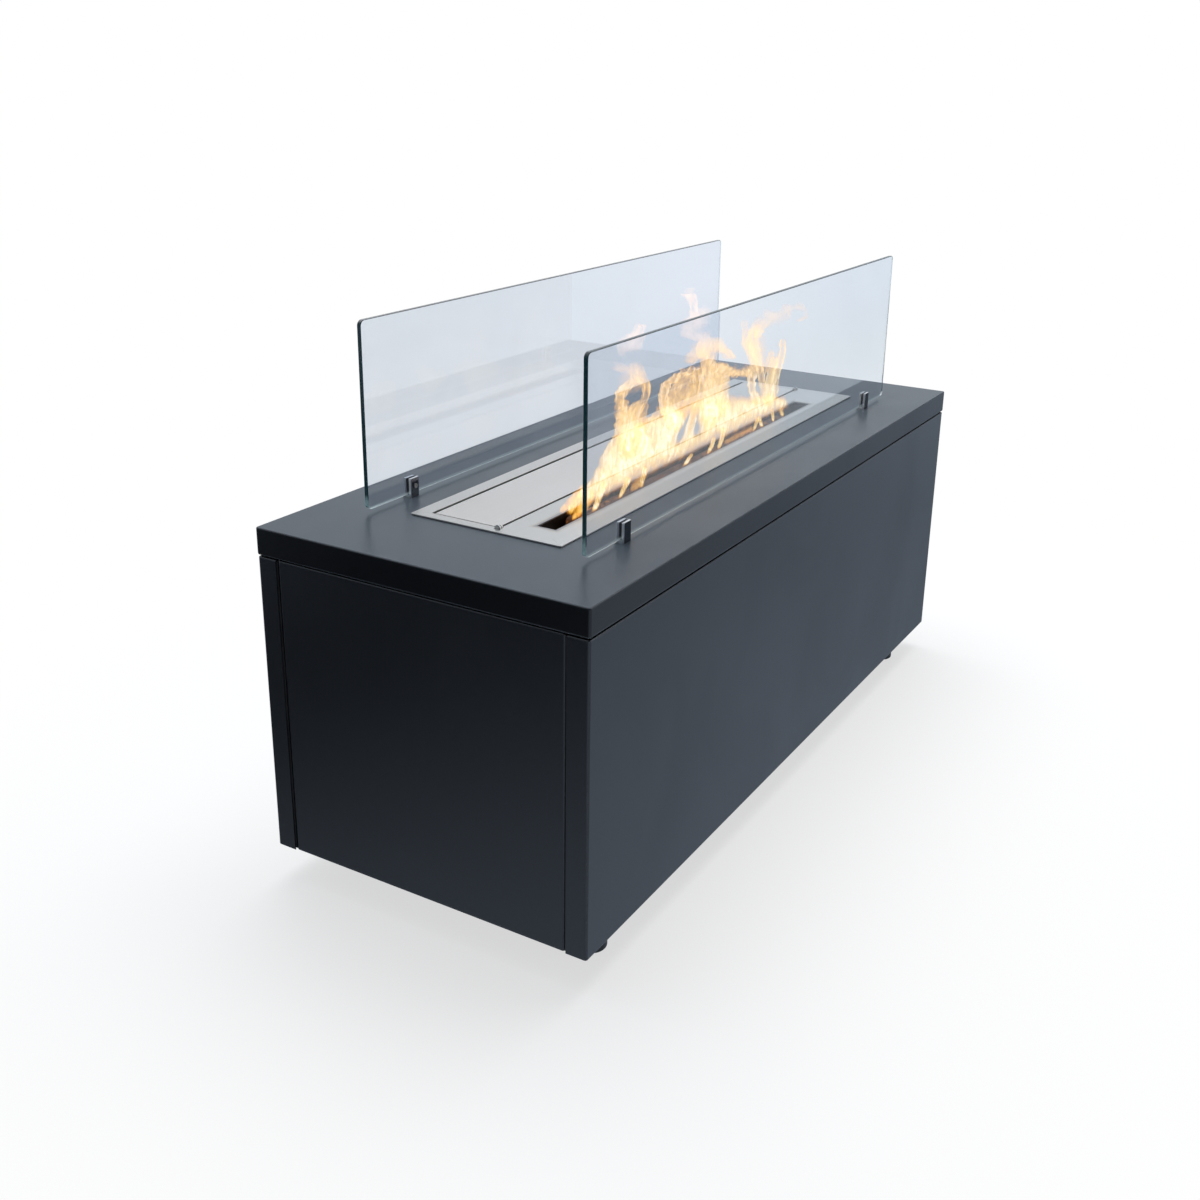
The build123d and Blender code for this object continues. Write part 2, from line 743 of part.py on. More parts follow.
for side_name, side in sides:
    for face_name, face in faces:
        clip_centre = (side * clip_x, face * glass_centre_y)
        cheek_face_y = face * (glass_centre_y - clip_width / 2)
        with BuildPart() as glass_clip:
            with BuildSketch(Plane.XY.offset(cover_top)):
                with Locations(clip_centre):
                    Rectangle(clip_length, clip_width)
            extrude(amount=clip_height)
            fillet(glass_clip.edges().filter_by(Axis.Z), clip_edge_radius)
            with BuildSketch(Plane.XY.offset(clip_slot_bottom)):
                with Locations(clip_centre):
                    Rectangle(clip_length, clip_slot)
            extrude(amount=clip_height - clip_floor, mode=Mode.SUBTRACT)
            fillet(
                glass_clip.faces().filter_by(Axis.Z).group_by(Axis.Z)[-1].edges(),
                clip_edge_radius / 2,
            )
            with BuildSketch(Plane.XY.offset(cover_top)):
                with Locations(clip_centre):
                    Circle(clip_bolt_radius)
            extrude(amount=clip_bolt_depth, mode=Mode.SUBTRACT)
            screw_hole = Plane(
                origin=(side * clip_x, cheek_face_y, cover_top + set_screw_height),
                z_dir=(0, face, 0),
            )
            with BuildSketch(screw_hole):
                Circle(set_screw_radius)
            extrude(amount=clip_cheek, mode=Mode.SUBTRACT)
        save(glass_clip, f"glass_clip_{face_name}_{side_name}")

with BuildPart() as glass_pads:
    with BuildSketch(Plane.XY.offset(clip_slot_bottom)):
        with GridLocations(clip_span_x, clip_span_y, 2, 2):
            Rectangle(clip_length, clip_slot)
    extrude(amount=clip_height - clip_floor - pad_setback)
    with BuildSketch(Plane.XY.offset(glass_bottom)):
        with GridLocations(clip_span_x, clip_span_y, 2, 2):
            Rectangle(clip_length, clip_slot - 2 * pad_sheet)
    extrude(amount=clip_height, mode=Mode.SUBTRACT)
save(glass_pads, "glass_pads")

# Each set screw goes through the cheek that faces the flame.
with BuildPart() as clip_set_screws:
    for side_name, side in sides:
        for face_name, face in faces:
            cheek_face = Plane(
                origin=(
                    side * clip_x,
                    face * (glass_centre_y - clip_width / 2),
                    cover_top + set_screw_height,
                ),
                z_dir=(0, face, 0),
            )
            with BuildSketch(cheek_face):
                Circle(set_screw_radius)
            extrude(amount=clip_cheek)
            with BuildSketch(cheek_face):
                Circle(set_screw_head_radius)
            extrude(amount=-set_screw_head_height)
            with BuildSketch(cheek_face.offset(-set_screw_head_height)):
                RegularPolygon(set_screw_socket_flats / 2, 6, major_radius=False)
            extrude(amount=set_screw_socket_depth, mode=Mode.SUBTRACT)
save(clip_set_screws, "clip_set_screws")

with BuildPart() as clip_bolts:
    with BuildSketch(Plane.XY.offset(cover_underside)):
        with GridLocations(clip_span_x, clip_span_y, 2, 2):
            Circle(clip_bolt_radius)
    extrude(amount=cover_sheet + clip_bolt_depth)
    with BuildSketch(Plane.XY.offset(cover_underside)):
        with GridLocations(clip_span_x, clip_span_y, 2, 2):
            Circle(clip_bolt_head_radius)
    extrude(amount=-clip_bolt_head_height)
save(clip_bolts, "clip_bolts")

# ---------------------------------------------------------------- glass panes
for face_name, face in faces:
    pane_plane = Plane(
        origin=(0, face * glass_centre_y, glass_bottom + glass_height / 2),
        x_dir=(1, 0, 0),
        z_dir=(0, -1, 0),
    )
    with BuildPart() as glass_pane:
        with BuildSketch(pane_plane):
            RectangleRounded(glass_length, glass_height, glass_corner_radius)
        extrude(amount=glass_thickness / 2, both=True)
        chamfer(
            glass_pane.faces().filter_by(Axis.Y).edges(),
            glass_edge_chamfer,
        )
    save(glass_pane, f"glass_pane_{face_name}")
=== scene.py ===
import math

import bpy
import numpy as np
from mathutils import Matrix, Vector


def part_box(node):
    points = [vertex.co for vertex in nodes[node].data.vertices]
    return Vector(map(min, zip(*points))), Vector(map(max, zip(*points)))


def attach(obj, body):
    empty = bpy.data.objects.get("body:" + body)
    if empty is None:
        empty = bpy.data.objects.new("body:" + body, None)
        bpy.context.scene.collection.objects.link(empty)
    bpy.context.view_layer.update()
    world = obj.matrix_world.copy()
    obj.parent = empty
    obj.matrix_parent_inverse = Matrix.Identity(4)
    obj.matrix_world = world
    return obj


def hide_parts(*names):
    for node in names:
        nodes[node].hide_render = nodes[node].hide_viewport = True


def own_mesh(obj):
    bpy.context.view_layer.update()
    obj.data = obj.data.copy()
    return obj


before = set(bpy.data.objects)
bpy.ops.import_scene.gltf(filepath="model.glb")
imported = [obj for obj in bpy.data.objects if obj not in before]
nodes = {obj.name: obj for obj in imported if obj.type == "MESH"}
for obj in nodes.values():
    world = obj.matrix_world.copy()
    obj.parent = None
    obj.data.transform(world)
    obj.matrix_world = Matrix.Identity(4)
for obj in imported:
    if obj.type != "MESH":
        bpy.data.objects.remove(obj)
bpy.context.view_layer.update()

# Free-standing bioethanol fireplace: the finishes of its sheet metal, glass and
# burner, and the two things that a solid can't show, the wick's fibre and the fire.
# Metres, unless a comment says millimetres; +X along the housing, the front long
# side at -Y, +Z up.

scene = bpy.context.scene

cover_low, cover_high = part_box("top_cover")
panel_low, panel_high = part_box("front_panel")
end_low, end_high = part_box("end_panel_right")
channel_low, channel_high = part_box("flame_channel")
wick_low, wick_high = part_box("wick_roll")
rim_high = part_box("burner_rim")[1]
pane_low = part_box("glass_pane_front")[0]
cover_top = cover_high.z

BLACK = (0.0, 0.0, 0.0)
MILLIMETRES = 1000.0  # in a metre
CHANNEL_WALL = 0.0015  # the sheet round the flame slot

# The camera, solved from the straight edges in the photograph. The picture's side, the
# lens and the optical centre are in pixels, the sensor's width in millimetres.
PICTURE_SIDE = 1200.0
LENS_LENGTH = 1364.41
OPTICAL_CENTRE = (638.0, 527.45)
SENSOR_WIDTH = 36.0
CAMERA_PLACE = (-1.44753, -0.77957, 0.87060)
CAMERA_FORWARD = (0.823581, 0.463555, -0.326850)
CAMERA_RIGHT = (0.496868, -0.867558, 0.021572)
NEAREST_SEEN, FURTHEST_SEEN = 0.05, 60.0


# ---------- camera
def photo_camera():
    """The camera of the photograph."""
    forward = Vector(CAMERA_FORWARD).normalized()
    right = Vector(CAMERA_RIGHT)
    right = (right - forward * right.dot(forward)).normalized()
    up = right.cross(forward)
    data = bpy.data.cameras.new("photo_camera")
    data.sensor_fit = "HORIZONTAL"
    data.sensor_width = SENSOR_WIDTH
    data.lens = LENS_LENGTH / PICTURE_SIDE * SENSOR_WIDTH
    data.shift_x = (PICTURE_SIDE / 2 - OPTICAL_CENTRE[0]) / PICTURE_SIDE
    data.shift_y = (OPTICAL_CENTRE[1] - PICTURE_SIDE / 2) / PICTURE_SIDE
    data.clip_start = NEAREST_SEEN
    data.clip_end = FURTHEST_SEEN
    camera = bpy.data.objects.new("photo_camera", data)
    turned = Matrix((right, up, -forward)).transposed().to_4x4()
    camera.matrix_world = Matrix.Translation(CAMERA_PLACE) @ turned
    scene.collection.objects.link(camera)
    scene.camera = camera


# ---------- small node helpers
# The numbers of a colour Mix node's sockets.
MIX_SHARE, MIX_BASE, MIX_OTHER, MIX_RESULT = 0, 6, 7, 2


def add(tree, kind, **settings):
    """A new node of that kind with its settings."""
    node = tree.nodes.new(kind)
    for name, value in settings.items():
        setattr(node, name, value)
    return node


def put(tree, socket, value):
    """Links a socket to another, or sets it to a plain value. A colour is three numbers."""
    if isinstance(value, bpy.types.NodeSocket):
        tree.links.new(value, socket)
    elif socket.type == "RGBA":
        socket.default_value = (*value, 1.0)
    else:
        socket.default_value = value


def calc(tree, operation, *values, clamp=False):
    """One step of arithmetic on up to three values or sockets."""
    node = add(tree, "ShaderNodeMath", operation=operation, use_clamp=clamp)
    for socket, value in zip(node.inputs, values):
        put(tree, socket, value)
    return node.outputs[0]


def times(tree, value, other):
    """Two values multiplied."""
    return calc(tree, "MULTIPLY", value, other)


def minus(tree, value, other):
    """One value less another."""
    return calc(tree, "SUBTRACT", value, other)


def highest(tree, value, other):
    """The higher of two values."""
    return calc(tree, "MAXIMUM", value, other)


def size(tree, value):
    """A value without its sign."""
    return calc(tree, "ABSOLUTE", value)


def raised(tree, base, share, by):
    """A base value raised by a share of another: base + share * by."""
    return calc(tree, "MULTIPLY_ADD", share, by, base)


def past(tree, value, half):
    """How far a value is past a half size, to either side of 0; negative within it."""
    return minus(tree, size(tree, value), half)


def fade(tree, value, start, end, low=0.0, high=1.0):
    """A soft step from low to high while value goes from start to end."""
    node = add(tree, "ShaderNodeMapRange", interpolation_type="SMOOTHSTEP")
    for socket, number in zip(node.inputs, (value, start, end, low, high)):
        put(tree, socket, number)
    return node.outputs[0]


def tint(tree, share, base, other):
    """Two colours mixed, from all base at share 0 to all other at share 1."""
    node = add(tree, "ShaderNodeMix", data_type="RGBA", blend_type="MIX")
    for place, value in ((MIX_SHARE, share), (MIX_BASE, base), (MIX_OTHER, other)):
        put(tree, node.inputs[place], value)
    return node.outputs[MIX_RESULT]


def grain_noise(tree, vector, scale, detail=2.0, roughness=0.5, distortion=0.0):
    """A noise value at that scale, in features a metre."""
    node = add(tree, "ShaderNodeTexNoise")
    names = ("Vector", "Scale", "Detail", "Roughness", "Distortion")
    for name, value in zip(names, (vector, scale, detail, roughness, distortion)):
        put(tree, node.inputs[name], value)
    return node.outputs[0]


def stretched(tree, vector, scale):
    """Coordinates scaled by a different number along each axis."""
    node = add(tree, "ShaderNodeVectorMath", operation="MULTIPLY")
    put(tree, node.inputs[0], vector)
    put(tree, node.inputs[1], scale)
    return node.outputs[0]


def split(tree, vector):
    """The three parts of a vector."""
    node = add(tree, "ShaderNodeSeparateXYZ")
    put(tree, node.inputs[0], vector)
    return node.outputs


def facing(tree):
    """The three parts of the surface's own direction, along the object's axes."""
    return split(tree, add(tree, "ShaderNodeTexCoord").outputs["Normal"])


def new_group(name, inputs, outputs):
    """A node group with named number and vector sockets; returns its tree, inputs and outputs."""
    tree = bpy.data.node_groups.new(name, "ShaderNodeTree")
    for socket, value in inputs.items():
        kind = "NodeSocketVector" if value is None else "NodeSocketFloat"
        item = tree.interface.new_socket(name=socket, in_out="INPUT", socket_type=kind)
        if value is not None:
            item.default_value = value
    for socket in outputs:
        tree.interface.new_socket(name=socket, in_out="OUTPUT", socket_type="NodeSocketFloat")
    return tree, add(tree, "NodeGroupInput").outputs, add(tree, "NodeGroupOutput").inputs


def use(tree, group, **values):
    """Places a node group and sets its inputs; underscores stand for spaces."""
    node = add(tree, "ShaderNodeGroup", node_tree=group)
    for name, value in values.items():
        put(tree, node.inputs[name.replace("_", " ")], value)
    return node.outputs


# ---------- shared effects
def make_coat_texture():
    """Baked powder coat: a fine pebble over a soft orange peel that is six times as coarse."""
    coarser = 6.0
    tree, given, result = new_group(
        "coat_texture",
        {"Coordinates": None, "Pebbles a metre": 1400.0, "Peel share": 0.5},
        ["Height", "Speckle"],
    )
    where, pebbles = given["Coordinates"], given["Pebbles a metre"]
    pebble = grain_noise(tree, where, pebbles, detail=3.0, roughness=0.6)
    peel = grain_noise(tree, where, calc(tree, "DIVIDE", pebbles, coarser), detail=1.0)
    put(tree, result["Height"], raised(tree, pebble, peel, by=given["Peel share"]))
    put(tree, result["Speckle"], fade(tree, pebble, 0.35, 0.75))
    return tree


def make_edge_wear_highlight():
    """Wear and painted highlight along the edges of a box: 1 close to two of its faces
    and 0 a reach away.

    Noise thins it in patches."""
    full_wear_highlight, no_wear_highlight, least_patch = 0.2, 1.0, 0.35
    tree, given, result = new_group(
        "edge_wear_highlight",
        {
            "Coordinates": None,
            "Half length": 0.5,
            "Half width": 0.2,
            "Low": 0.0,
            "High": 1.0,
            "Reach": 0.002,
        },
        ["Mask"],
    )
    x, y, z = split(tree, given["Coordinates"])
    gaps = [
        minus(tree, given["Half length"], size(tree, x)),
        minus(tree, given["Half width"], size(tree, y)),
        calc(tree, "MINIMUM", minus(tree, given["High"], z), minus(tree, z, given["Low"])),
    ]
    in_reaches = [calc(tree, "DIVIDE", gap, given["Reach"]) for gap in gaps]
    near = [fade(tree, gap, full_wear_highlight, no_wear_highlight, low=1.0, high=0.0) for gap in in_reaches]
    upright_edge = times(tree, near[0], near[1])
    level_edge = times(tree, near[2], highest(tree, near[0], near[1]))
    noise = grain_noise(tree, given["Coordinates"], 34.0, detail=4.0, roughness=0.6)
    patchy = fade(tree, noise, 0.30, 0.62, low=least_patch)
    put(tree, result["Mask"], times(tree, highest(tree, upright_edge, level_edge), patchy))
    return tree


def make_brushed_grain():
    """Brushed sheet: noise drawn out along X, at two scales, with a few longer scratches."""
    coarser, coarse_share = 5.0, 0.6
    line_stretch, scratch_stretch = (0.012, 1.0, 1.0), (0.25, 1.0, 1.0)
    tree, given, result = new_group(
        "brushed_grain",
        {"Coordinates": None, "Lines a metre": 2600.0, "Scratches": 0.3},
        ["Height", "Shade"],
    )
    where, lines = given["Coordinates"], given["Lines a metre"]
    along = stretched(tree, where, line_stretch)
    fine = grain_noise(tree, along, lines, roughness=0.6)
    coarse = grain_noise(tree, along, calc(tree, "DIVIDE", lines, coarser))
    both = raised(tree, fine, coarse, by=coarse_share)
    streaks = stretched(tree, where, scratch_stretch)
    noise = grain_noise(tree, streaks, 420.0, detail=3.0, roughness=0.7, distortion=0.4)
    scratch = fade(tree, noise, 0.66, 0.72)
    depth = times(tree, given["Scratches"], -1.0)
    put(tree, result["Height"], raised(tree, both, scratch, by=depth))
    put(tree, result["Shade"], times(tree, both, 1.0 / (1.0 + coarse_share)))
    return tree


def make_handling_marks():
    """Faint wiped and handled places: slow noise, from 0 where clean to 1 where dull."""
    tree, given, result = new_group(
        "handling_marks", {"Coordinates": None, "Marks a metre": 7.0}, ["Dullness"]
    )
    where, marks = given["Coordinates"], given["Marks a metre"]
    slow = grain_noise(tree, where, marks, detail=5.0, roughness=0.55, distortion=0.6)
    put(tree, result["Dullness"], fade(tree, slow, 0.38, 0.68))
    return tree


def make_flame_marks():
    """Heat round the flame slot, a rectangle in plan: 1 inside it and 0 a reach away.

    Noise makes the reach ragged."""
    middle = (channel_low + channel_high) / 2
    half = (channel_high - channel_low) / 2
    tree, given, result = new_group(
        "flame_marks",
        {
            "Coordinates": None,
            "Slot middle": middle.x,
            "Slot line": middle.y,
            "Half length": half.x - CHANNEL_WALL,
            "Half width": half.y - CHANNEL_WALL,
            "Reach": 0.01,
        },
        ["Heat"],
    )
    x, y = split(tree, given["Coordinates"])[:2]
    outside = [
        past(tree, minus(tree, x, given["Slot middle"]), given["Half length"]),
        past(tree, minus(tree, y, given["Slot line"]), given["Half width"]),
    ]
    off = highest(tree, highest(tree, *outside), 0.0)
    noise = grain_noise(tree, given["Coordinates"], 60.0, detail=4.0, roughness=0.6)
    ragged = times(tree, given["Reach"], raised(tree, 0.55, noise, by=0.9))
    off = calc(tree, "DIVIDE", off, ragged)
    put(tree, result["Heat"], fade(tree, off, 0.0, 1.0, low=1.0, high=0.0))
    return tree


coat_texture = make_coat_texture()
edge_wear_highlight = make_edge_wear_highlight()
brushed_grain = make_brushed_grain()
handling_marks = make_handling_marks()
flame_marks = make_flame_marks()


# ---------- materials
def new_finish(name, **constants):
    """A material with one Principled shader; constants set its sockets, underscores for spaces."""
    material = bpy.data.materials.new(name)
    material.use_nodes = True
    tree = material.node_tree
    shader = tree.nodes["Principled BSDF"]
    for socket, value in constants.items():
        shader.inputs[socket.replace("_", " ")].default_value = value
    where = add(tree, "ShaderNodeTexCoord").outputs["Object"]
    return material, tree, shader.inputs, where


def bump(tree, sockets, height, depth, strength=1.0):
    """Feeds a height, in depths, to the shader's normal."""
    node = add(tree, "ShaderNodeBump")
    node.inputs["Strength"].default_value = strength
    node.inputs["Distance"].default_value = depth
    put(tree, node.inputs["Height"], height)
    put(tree, sockets["Normal"], node.outputs[0])


def powder_coat(name, low, high, painted_side_shade=0.0, painted_flat_light=0.0, index=1.6):
    """Satin graphite powder coat on a folded sheet with that box, lighter at its folds by a little
    wear and a painted highlight.

    The side shade argument is how much painted shade darkens its upright faces, the flat light
    argument how much painted light makes its flat ones paler, and index the refractive index
    of the coat."""
    dark_grain, pale_grain = (0.0090, 0.0112, 0.0165), (0.0132, 0.0160, 0.0225)
    # Colours of the upright faces' painted shade and the flat faces' painted light, then of the
    # folds' wear and painted highlight.
    painted_dark_side, painted_pale_flat = (0.0020, 0.0024, 0.0036), (0.060, 0.076, 0.094)
    rubbed_highlight, rub_highlight_share = (0.060, 0.066, 0.080), 0.5
    material, tree, sockets, where = new_finish(name, Metallic=0.0, IOR=index)
    texture = use(tree, coat_texture, Coordinates=where)
    marks = use(tree, handling_marks, Coordinates=where, Marks_a_metre=5.0)
    rub_highlight = use(
        tree,
        edge_wear_highlight,
        Coordinates=where,
        Half_length=max(abs(low.x), abs(high.x)),
        Half_width=max(abs(low.y), abs(high.y)),
        Low=low.z,
        High=high.z,
        Reach=0.0022,
    )["Mask"]
    body = tint(tree, texture["Speckle"], dark_grain, pale_grain)
    # Painted shade and light: the upright faces are tinted darker and the flat ones paler, by
    # which way they face.
    side = tint(tree, painted_side_shade, body, painted_dark_side)
    painted_flat = tint(tree, painted_flat_light, body, painted_pale_flat)
    level = fade(tree, size(tree, facing(tree)["Z"]), 0.2, 0.8)
    body = tint(tree, level, side, painted_flat)
    # Wear and a painted highlight: the folds are tinted lighter.
    put(tree, sockets["Base Color"], tint(tree, times(tree, rub_highlight, rub_highlight_share), body, rubbed_highlight))
    rough = raised(tree, 0.30, marks["Dullness"], by=0.05)
    put(tree, sockets["Roughness"], raised(tree, rough, rub_highlight, by=-0.10))
    bump(tree, sockets, texture["Height"], depth=0.00003)
    return material


def inner_paint():
    """Matt black heat-resistant paint, a little chalky."""
    clean, chalky = (0.016, 0.016, 0.018), (0.034, 0.034, 0.036)
    material, tree, sockets, where = new_finish("inner_paint", Metallic=0.0)
    texture = use(tree, coat_texture, Coordinates=where, Pebbles_a_metre=900.0)
    marks = use(tree, handling_marks, Coordinates=where, Marks_a_metre=11.0)
    put(tree, sockets["Base Color"], tint(tree, marks["Dullness"], clean, chalky))
    put(tree, sockets["Roughness"], raised(tree, 0.55, texture["Speckle"], by=0.1))
    bump(tree, sockets, texture["Height"], depth=0.00002)
    return material


def mitre_lines(tree, where):
    """1 on hairlines from the rim's outer corners inwards across its end bars, and 0 off them."""
    end_bar, slope = 0.0131, 1.42
    line_core, line_edge = 0.00012, 0.00035
    x, y = split(tree, where)[:2]
    from_end = past(tree, x, rim_high.x)
    from_side = past(tree, y, rim_high.y)
    off = size(tree, minus(tree, times(tree, from_end, slope), from_side))
    on_line = fade(tree, off, line_core, line_edge, low=1.0, high=0.0)
    return times(tree, on_line, calc(tree, "GREATER_THAN", from_end, -end_bar))


def brushed_steel(name, colour, rough, reach=0.0, soot=0.0, seams=False):
    """Brushed stainless; with a reach, it is heat-tinted and sooted within that of the slot.

    The tint goes from straw to blue, and soot is the share of black closest to the slot.
    seams draws the hairline mitres across the ends of the rim's frame."""
    straw, blue, black = (0.60, 0.50, 0.36), (0.33, 0.33, 0.42), (0.020, 0.016, 0.013)
    seam, seam_share = (0.20, 0.20, 0.21), 0.45
    material, tree, sockets, where = new_finish(name, Metallic=1.0)
    grain = use(tree, brushed_grain, Coordinates=where)
    marks = use(tree, handling_marks, Coordinates=where, Marks_a_metre=9.0)
    darker = tuple(0.86 * part for part in colour)
    shade = tint(tree, grain["Shade"], darker, colour)
    if reach:
        heat = use(tree, flame_marks, Coordinates=where, Reach=reach)["Heat"]
        for start, end, share, stain in (
            (0.05, 0.60, 0.35, straw),
            (0.62, 0.95, 0.35, blue),
            (0.55, 1.00, soot, black),
        ):
            shade = tint(tree, times(tree, fade(tree, heat, start, end), share), shade, stain)
    if seams:
        shade = tint(tree, times(tree, mitre_lines(tree, where), seam_share), shade, seam)
    put(tree, sockets["Base Color"], shade)
    gloss = raised(tree, rough, grain["Shade"], by=0.10)
    put(tree, sockets["Roughness"], raised(tree, gloss, marks["Dullness"], by=0.07))
    bump(tree, sockets, grain["Height"], depth=0.000012, strength=0.6)
    return material


def chrome():
    """Chrome: bright and satin on the cheeks' narrow faces, polished on the broad ones, where a
    painted dark reflection darkens it.
    """
    # dark is the painted dark reflection laid on the broad faces.
    bright, dull, dark = (0.93, 0.94, 0.96), (0.85, 0.86, 0.89), (0.13, 0.14, 0.165)
    material, tree, sockets, where = new_finish("chrome", Metallic=1.0)
    marks = use(tree, handling_marks, Coordinates=where, Marks_a_metre=160.0)
    grain = use(tree, brushed_grain, Coordinates=where, Lines_a_metre=5000.0)
    broad_painted_dark = fade(tree, size(tree, facing(tree)["Y"]), 0.80, 0.97)
    narrow = tint(tree, marks["Dullness"], bright, dull)
    # Painted reflection: the broad faces are tinted dark.
    put(tree, sockets["Base Color"], tint(tree, broad_painted_dark, narrow, dark))
    gloss = raised(tree, 0.42, broad_painted_dark, by=-0.34)
    put(tree, sockets["Roughness"], raised(tree, gloss, marks["Dullness"], by=0.06))
    bump(tree, sockets, grain["Height"], depth=0.000002, strength=0.3)
    return material


def zinc():
    """Bright zinc plate with a slight mottle."""
    bright, dull = (0.58, 0.59, 0.60), (0.44, 0.45, 0.45)
    material, tree, sockets, where = new_finish("zinc", Metallic=1.0)
    marks = use(tree, handling_marks, Coordinates=where, Marks_a_metre=220.0)
    grain = use(tree, brushed_grain, Coordinates=where, Lines_a_metre=3000.0)
    put(tree, sockets["Base Color"], tint(tree, marks["Dullness"], bright, dull))
    put(tree, sockets["Roughness"], raised(tree, 0.26, grain["Shade"], by=0.2))
    bump(tree, sockets, grain["Height"], depth=0.00001, strength=0.5)
    return material


def clear_glass():
    """Clear float glass: cool faces, deep teal upright edges, and ground top and bottom edges made
    paler by painted light.

    Each pane's colour shifts, as painted light and shade, from its near to its far end, and at
    the front pane's far end also from foot to head. The front pane's painted top edge light is a
    quarter as bright as the back one's, and painted light from the ground bottom edge lights the
    lowest 3 mm of the faces."""
    # Colours of the painted shift of light and shade along the panes.
    back_near, back_far = (0.690, 0.742, 0.805), (0.760, 0.805, 0.880)
    front_near = (0.800, 0.830, 0.875)
    front_foot, front_head = (0.810, 0.860, 0.900), (0.690, 0.745, 0.805)
    edge_tint, dirt_share = (0.30, 0.52, 0.54), 0.03
    # Painted light: the glow colours of the edges and the foot, and the foot band's heights.
    painted_upright_light, painted_far_end_light = (0.003, 0.016, 0.020), (0.30, 0.32, 0.40)
    painted_top_edge_light, painted_bottom_edge_light = (0.17, 0.17, 0.175), (0.20, 0.235, 0.27)
    painted_foot_light, painted_top_front_share = (0.070, 0.085, 0.088), 0.25
    painted_foot_light_top, painted_foot_light_full = pane_low.z + 0.0032, pane_low.z + 0.0010
    material, tree, sockets, where = new_finish(
        "clear_glass", Metallic=0.0, Transmission_Weight=1.0, IOR=1.5, Emission_Strength=1.0
    )
    side = facing(tree)
    edge = fade(tree, size(tree, side["Y"]), 0.55, 0.92, low=1.0, high=0.0)
    top = times(tree, edge, fade(tree, side["Z"], 0.5, 0.9))
    bottom = times(tree, edge, fade(tree, side["Z"], -0.5, -0.9))
    far_end = times(tree, edge, fade(tree, side["X"], 0.5, 0.9))
    x, y, z = split(tree, where)
    marks = use(tree, handling_marks, Coordinates=where, Marks_a_metre=4.0)

    # Painted light and shade: the faces' colour shifts along each pane and up the front one's far
    # end.
    along = fade(tree, x, -0.40, 0.40)
    back = tint(tree, along, back_near, back_far)
    front_far = tint(tree, fade(tree, z, 0.42, 0.60), front_foot, front_head)
    front = tint(tree, along, front_near, front_far)
    faces = tint(tree, calc(tree, "GREATER_THAN", y, 0.0), front, back)
    dirty = tint(tree, dirt_share, faces, BLACK)
    faces = tint(tree, marks["Dullness"], faces, dirty)
    put(tree, sockets["Base Color"], tint(tree, edge, faces, edge_tint))

    # Painted light: the edges and the lowest millimetres of the faces glow, as if lit through the
    # ground edges.
    glow = tint(tree, edge, BLACK, painted_upright_light)
    for share, colour in (
        (times(tree, top, fade(tree, y, -0.1, 0.1, low=painted_top_front_share)), painted_top_edge_light),
        (far_end, painted_far_end_light),
        (fade(tree, z, painted_foot_light_top, painted_foot_light_full), painted_foot_light),
        (bottom, painted_bottom_edge_light),
    ):
        glow = tint(tree, share, glow, colour)
    put(tree, sockets["Emission Color"], glow)
    put(tree, sockets["Roughness"], times(tree, edge, 0.12))
    return material


def black_moulding(name, colour, rough, pebbles):
    """Moulded black rubber or plastic with a fine spark-eroded texture."""
    material, tree, sockets, where = new_finish(name, Metallic=0.0)
    texture = use(tree, coat_texture, Coordinates=where, Pebbles_a_metre=pebbles)
    marks = use(tree, handling_marks, Coordinates=where, Marks_a_metre=40.0)
    lighter = tuple(1.8 * part for part in colour)
    put(tree, sockets["Base Color"], tint(tree, marks["Dullness"], colour, lighter))
    put(tree, sockets["Roughness"], raised(tree, rough, texture["Speckle"], by=0.12))
    bump(tree, sockets, texture["Height"], depth=0.00006)
    return material


def fibre(name, pale, dark, glow=0.0):
    """Matted mineral fibre, browned by the flame; glow is the strength of the embers in it."""
    scorched, scorch_share = (0.020, 0.012, 0.009), 0.75
    dim_ember, bright_ember = (0.060, 0.018, 0.004), (0.95, 0.34, 0.07)
    strand_stretch, ember_stretch = (0.35, 1.0, 1.0), (0.5, 1.0, 1.0)
    material, tree, sockets, where = new_finish(
        name, Metallic=0.0, Roughness=0.95, Specular_IOR_Level=0.15
    )
    combed = stretched(tree, where, strand_stretch)
    strands = grain_noise(tree, combed, 900.0, detail=4.0, roughness=0.65, distortion=1.2)
    burns = grain_noise(tree, where, 42.0, detail=4.0, roughness=0.6, distortion=0.5)
    scorch = times(tree, fade(tree, burns, 0.36, 0.66), scorch_share)
    shade = tint(tree, scorch, tint(tree, strands, dark, pale), scorched)
    put(tree, sockets["Base Color"], shade)
    if glow:
        combed = stretched(tree, where, ember_stretch)
        flecks = grain_noise(tree, combed, 75.0, detail=3.0, roughness=0.6, distortion=0.8)
        embers = tint(tree, fade(tree, flecks, 0.50, 0.74), dim_ember, bright_ember)
        put(tree, sockets["Emission Color"], embers)
        put(tree, sockets["Emission Strength"], glow)
    bump(tree, sockets, strands, depth=0.0006)
    return material


# The flame's colour by its density.
FLAME_COLOURS = [
    (0.00, (1.00, 0.33, 0.03)),
    (0.25, (1.00, 0.44, 0.05)),
    (0.50, (1.00, 0.57, 0.12)),
    (0.75, (1.00, 0.71, 0.27)),
    (1.00, (1.00, 0.79, 0.55)),
]


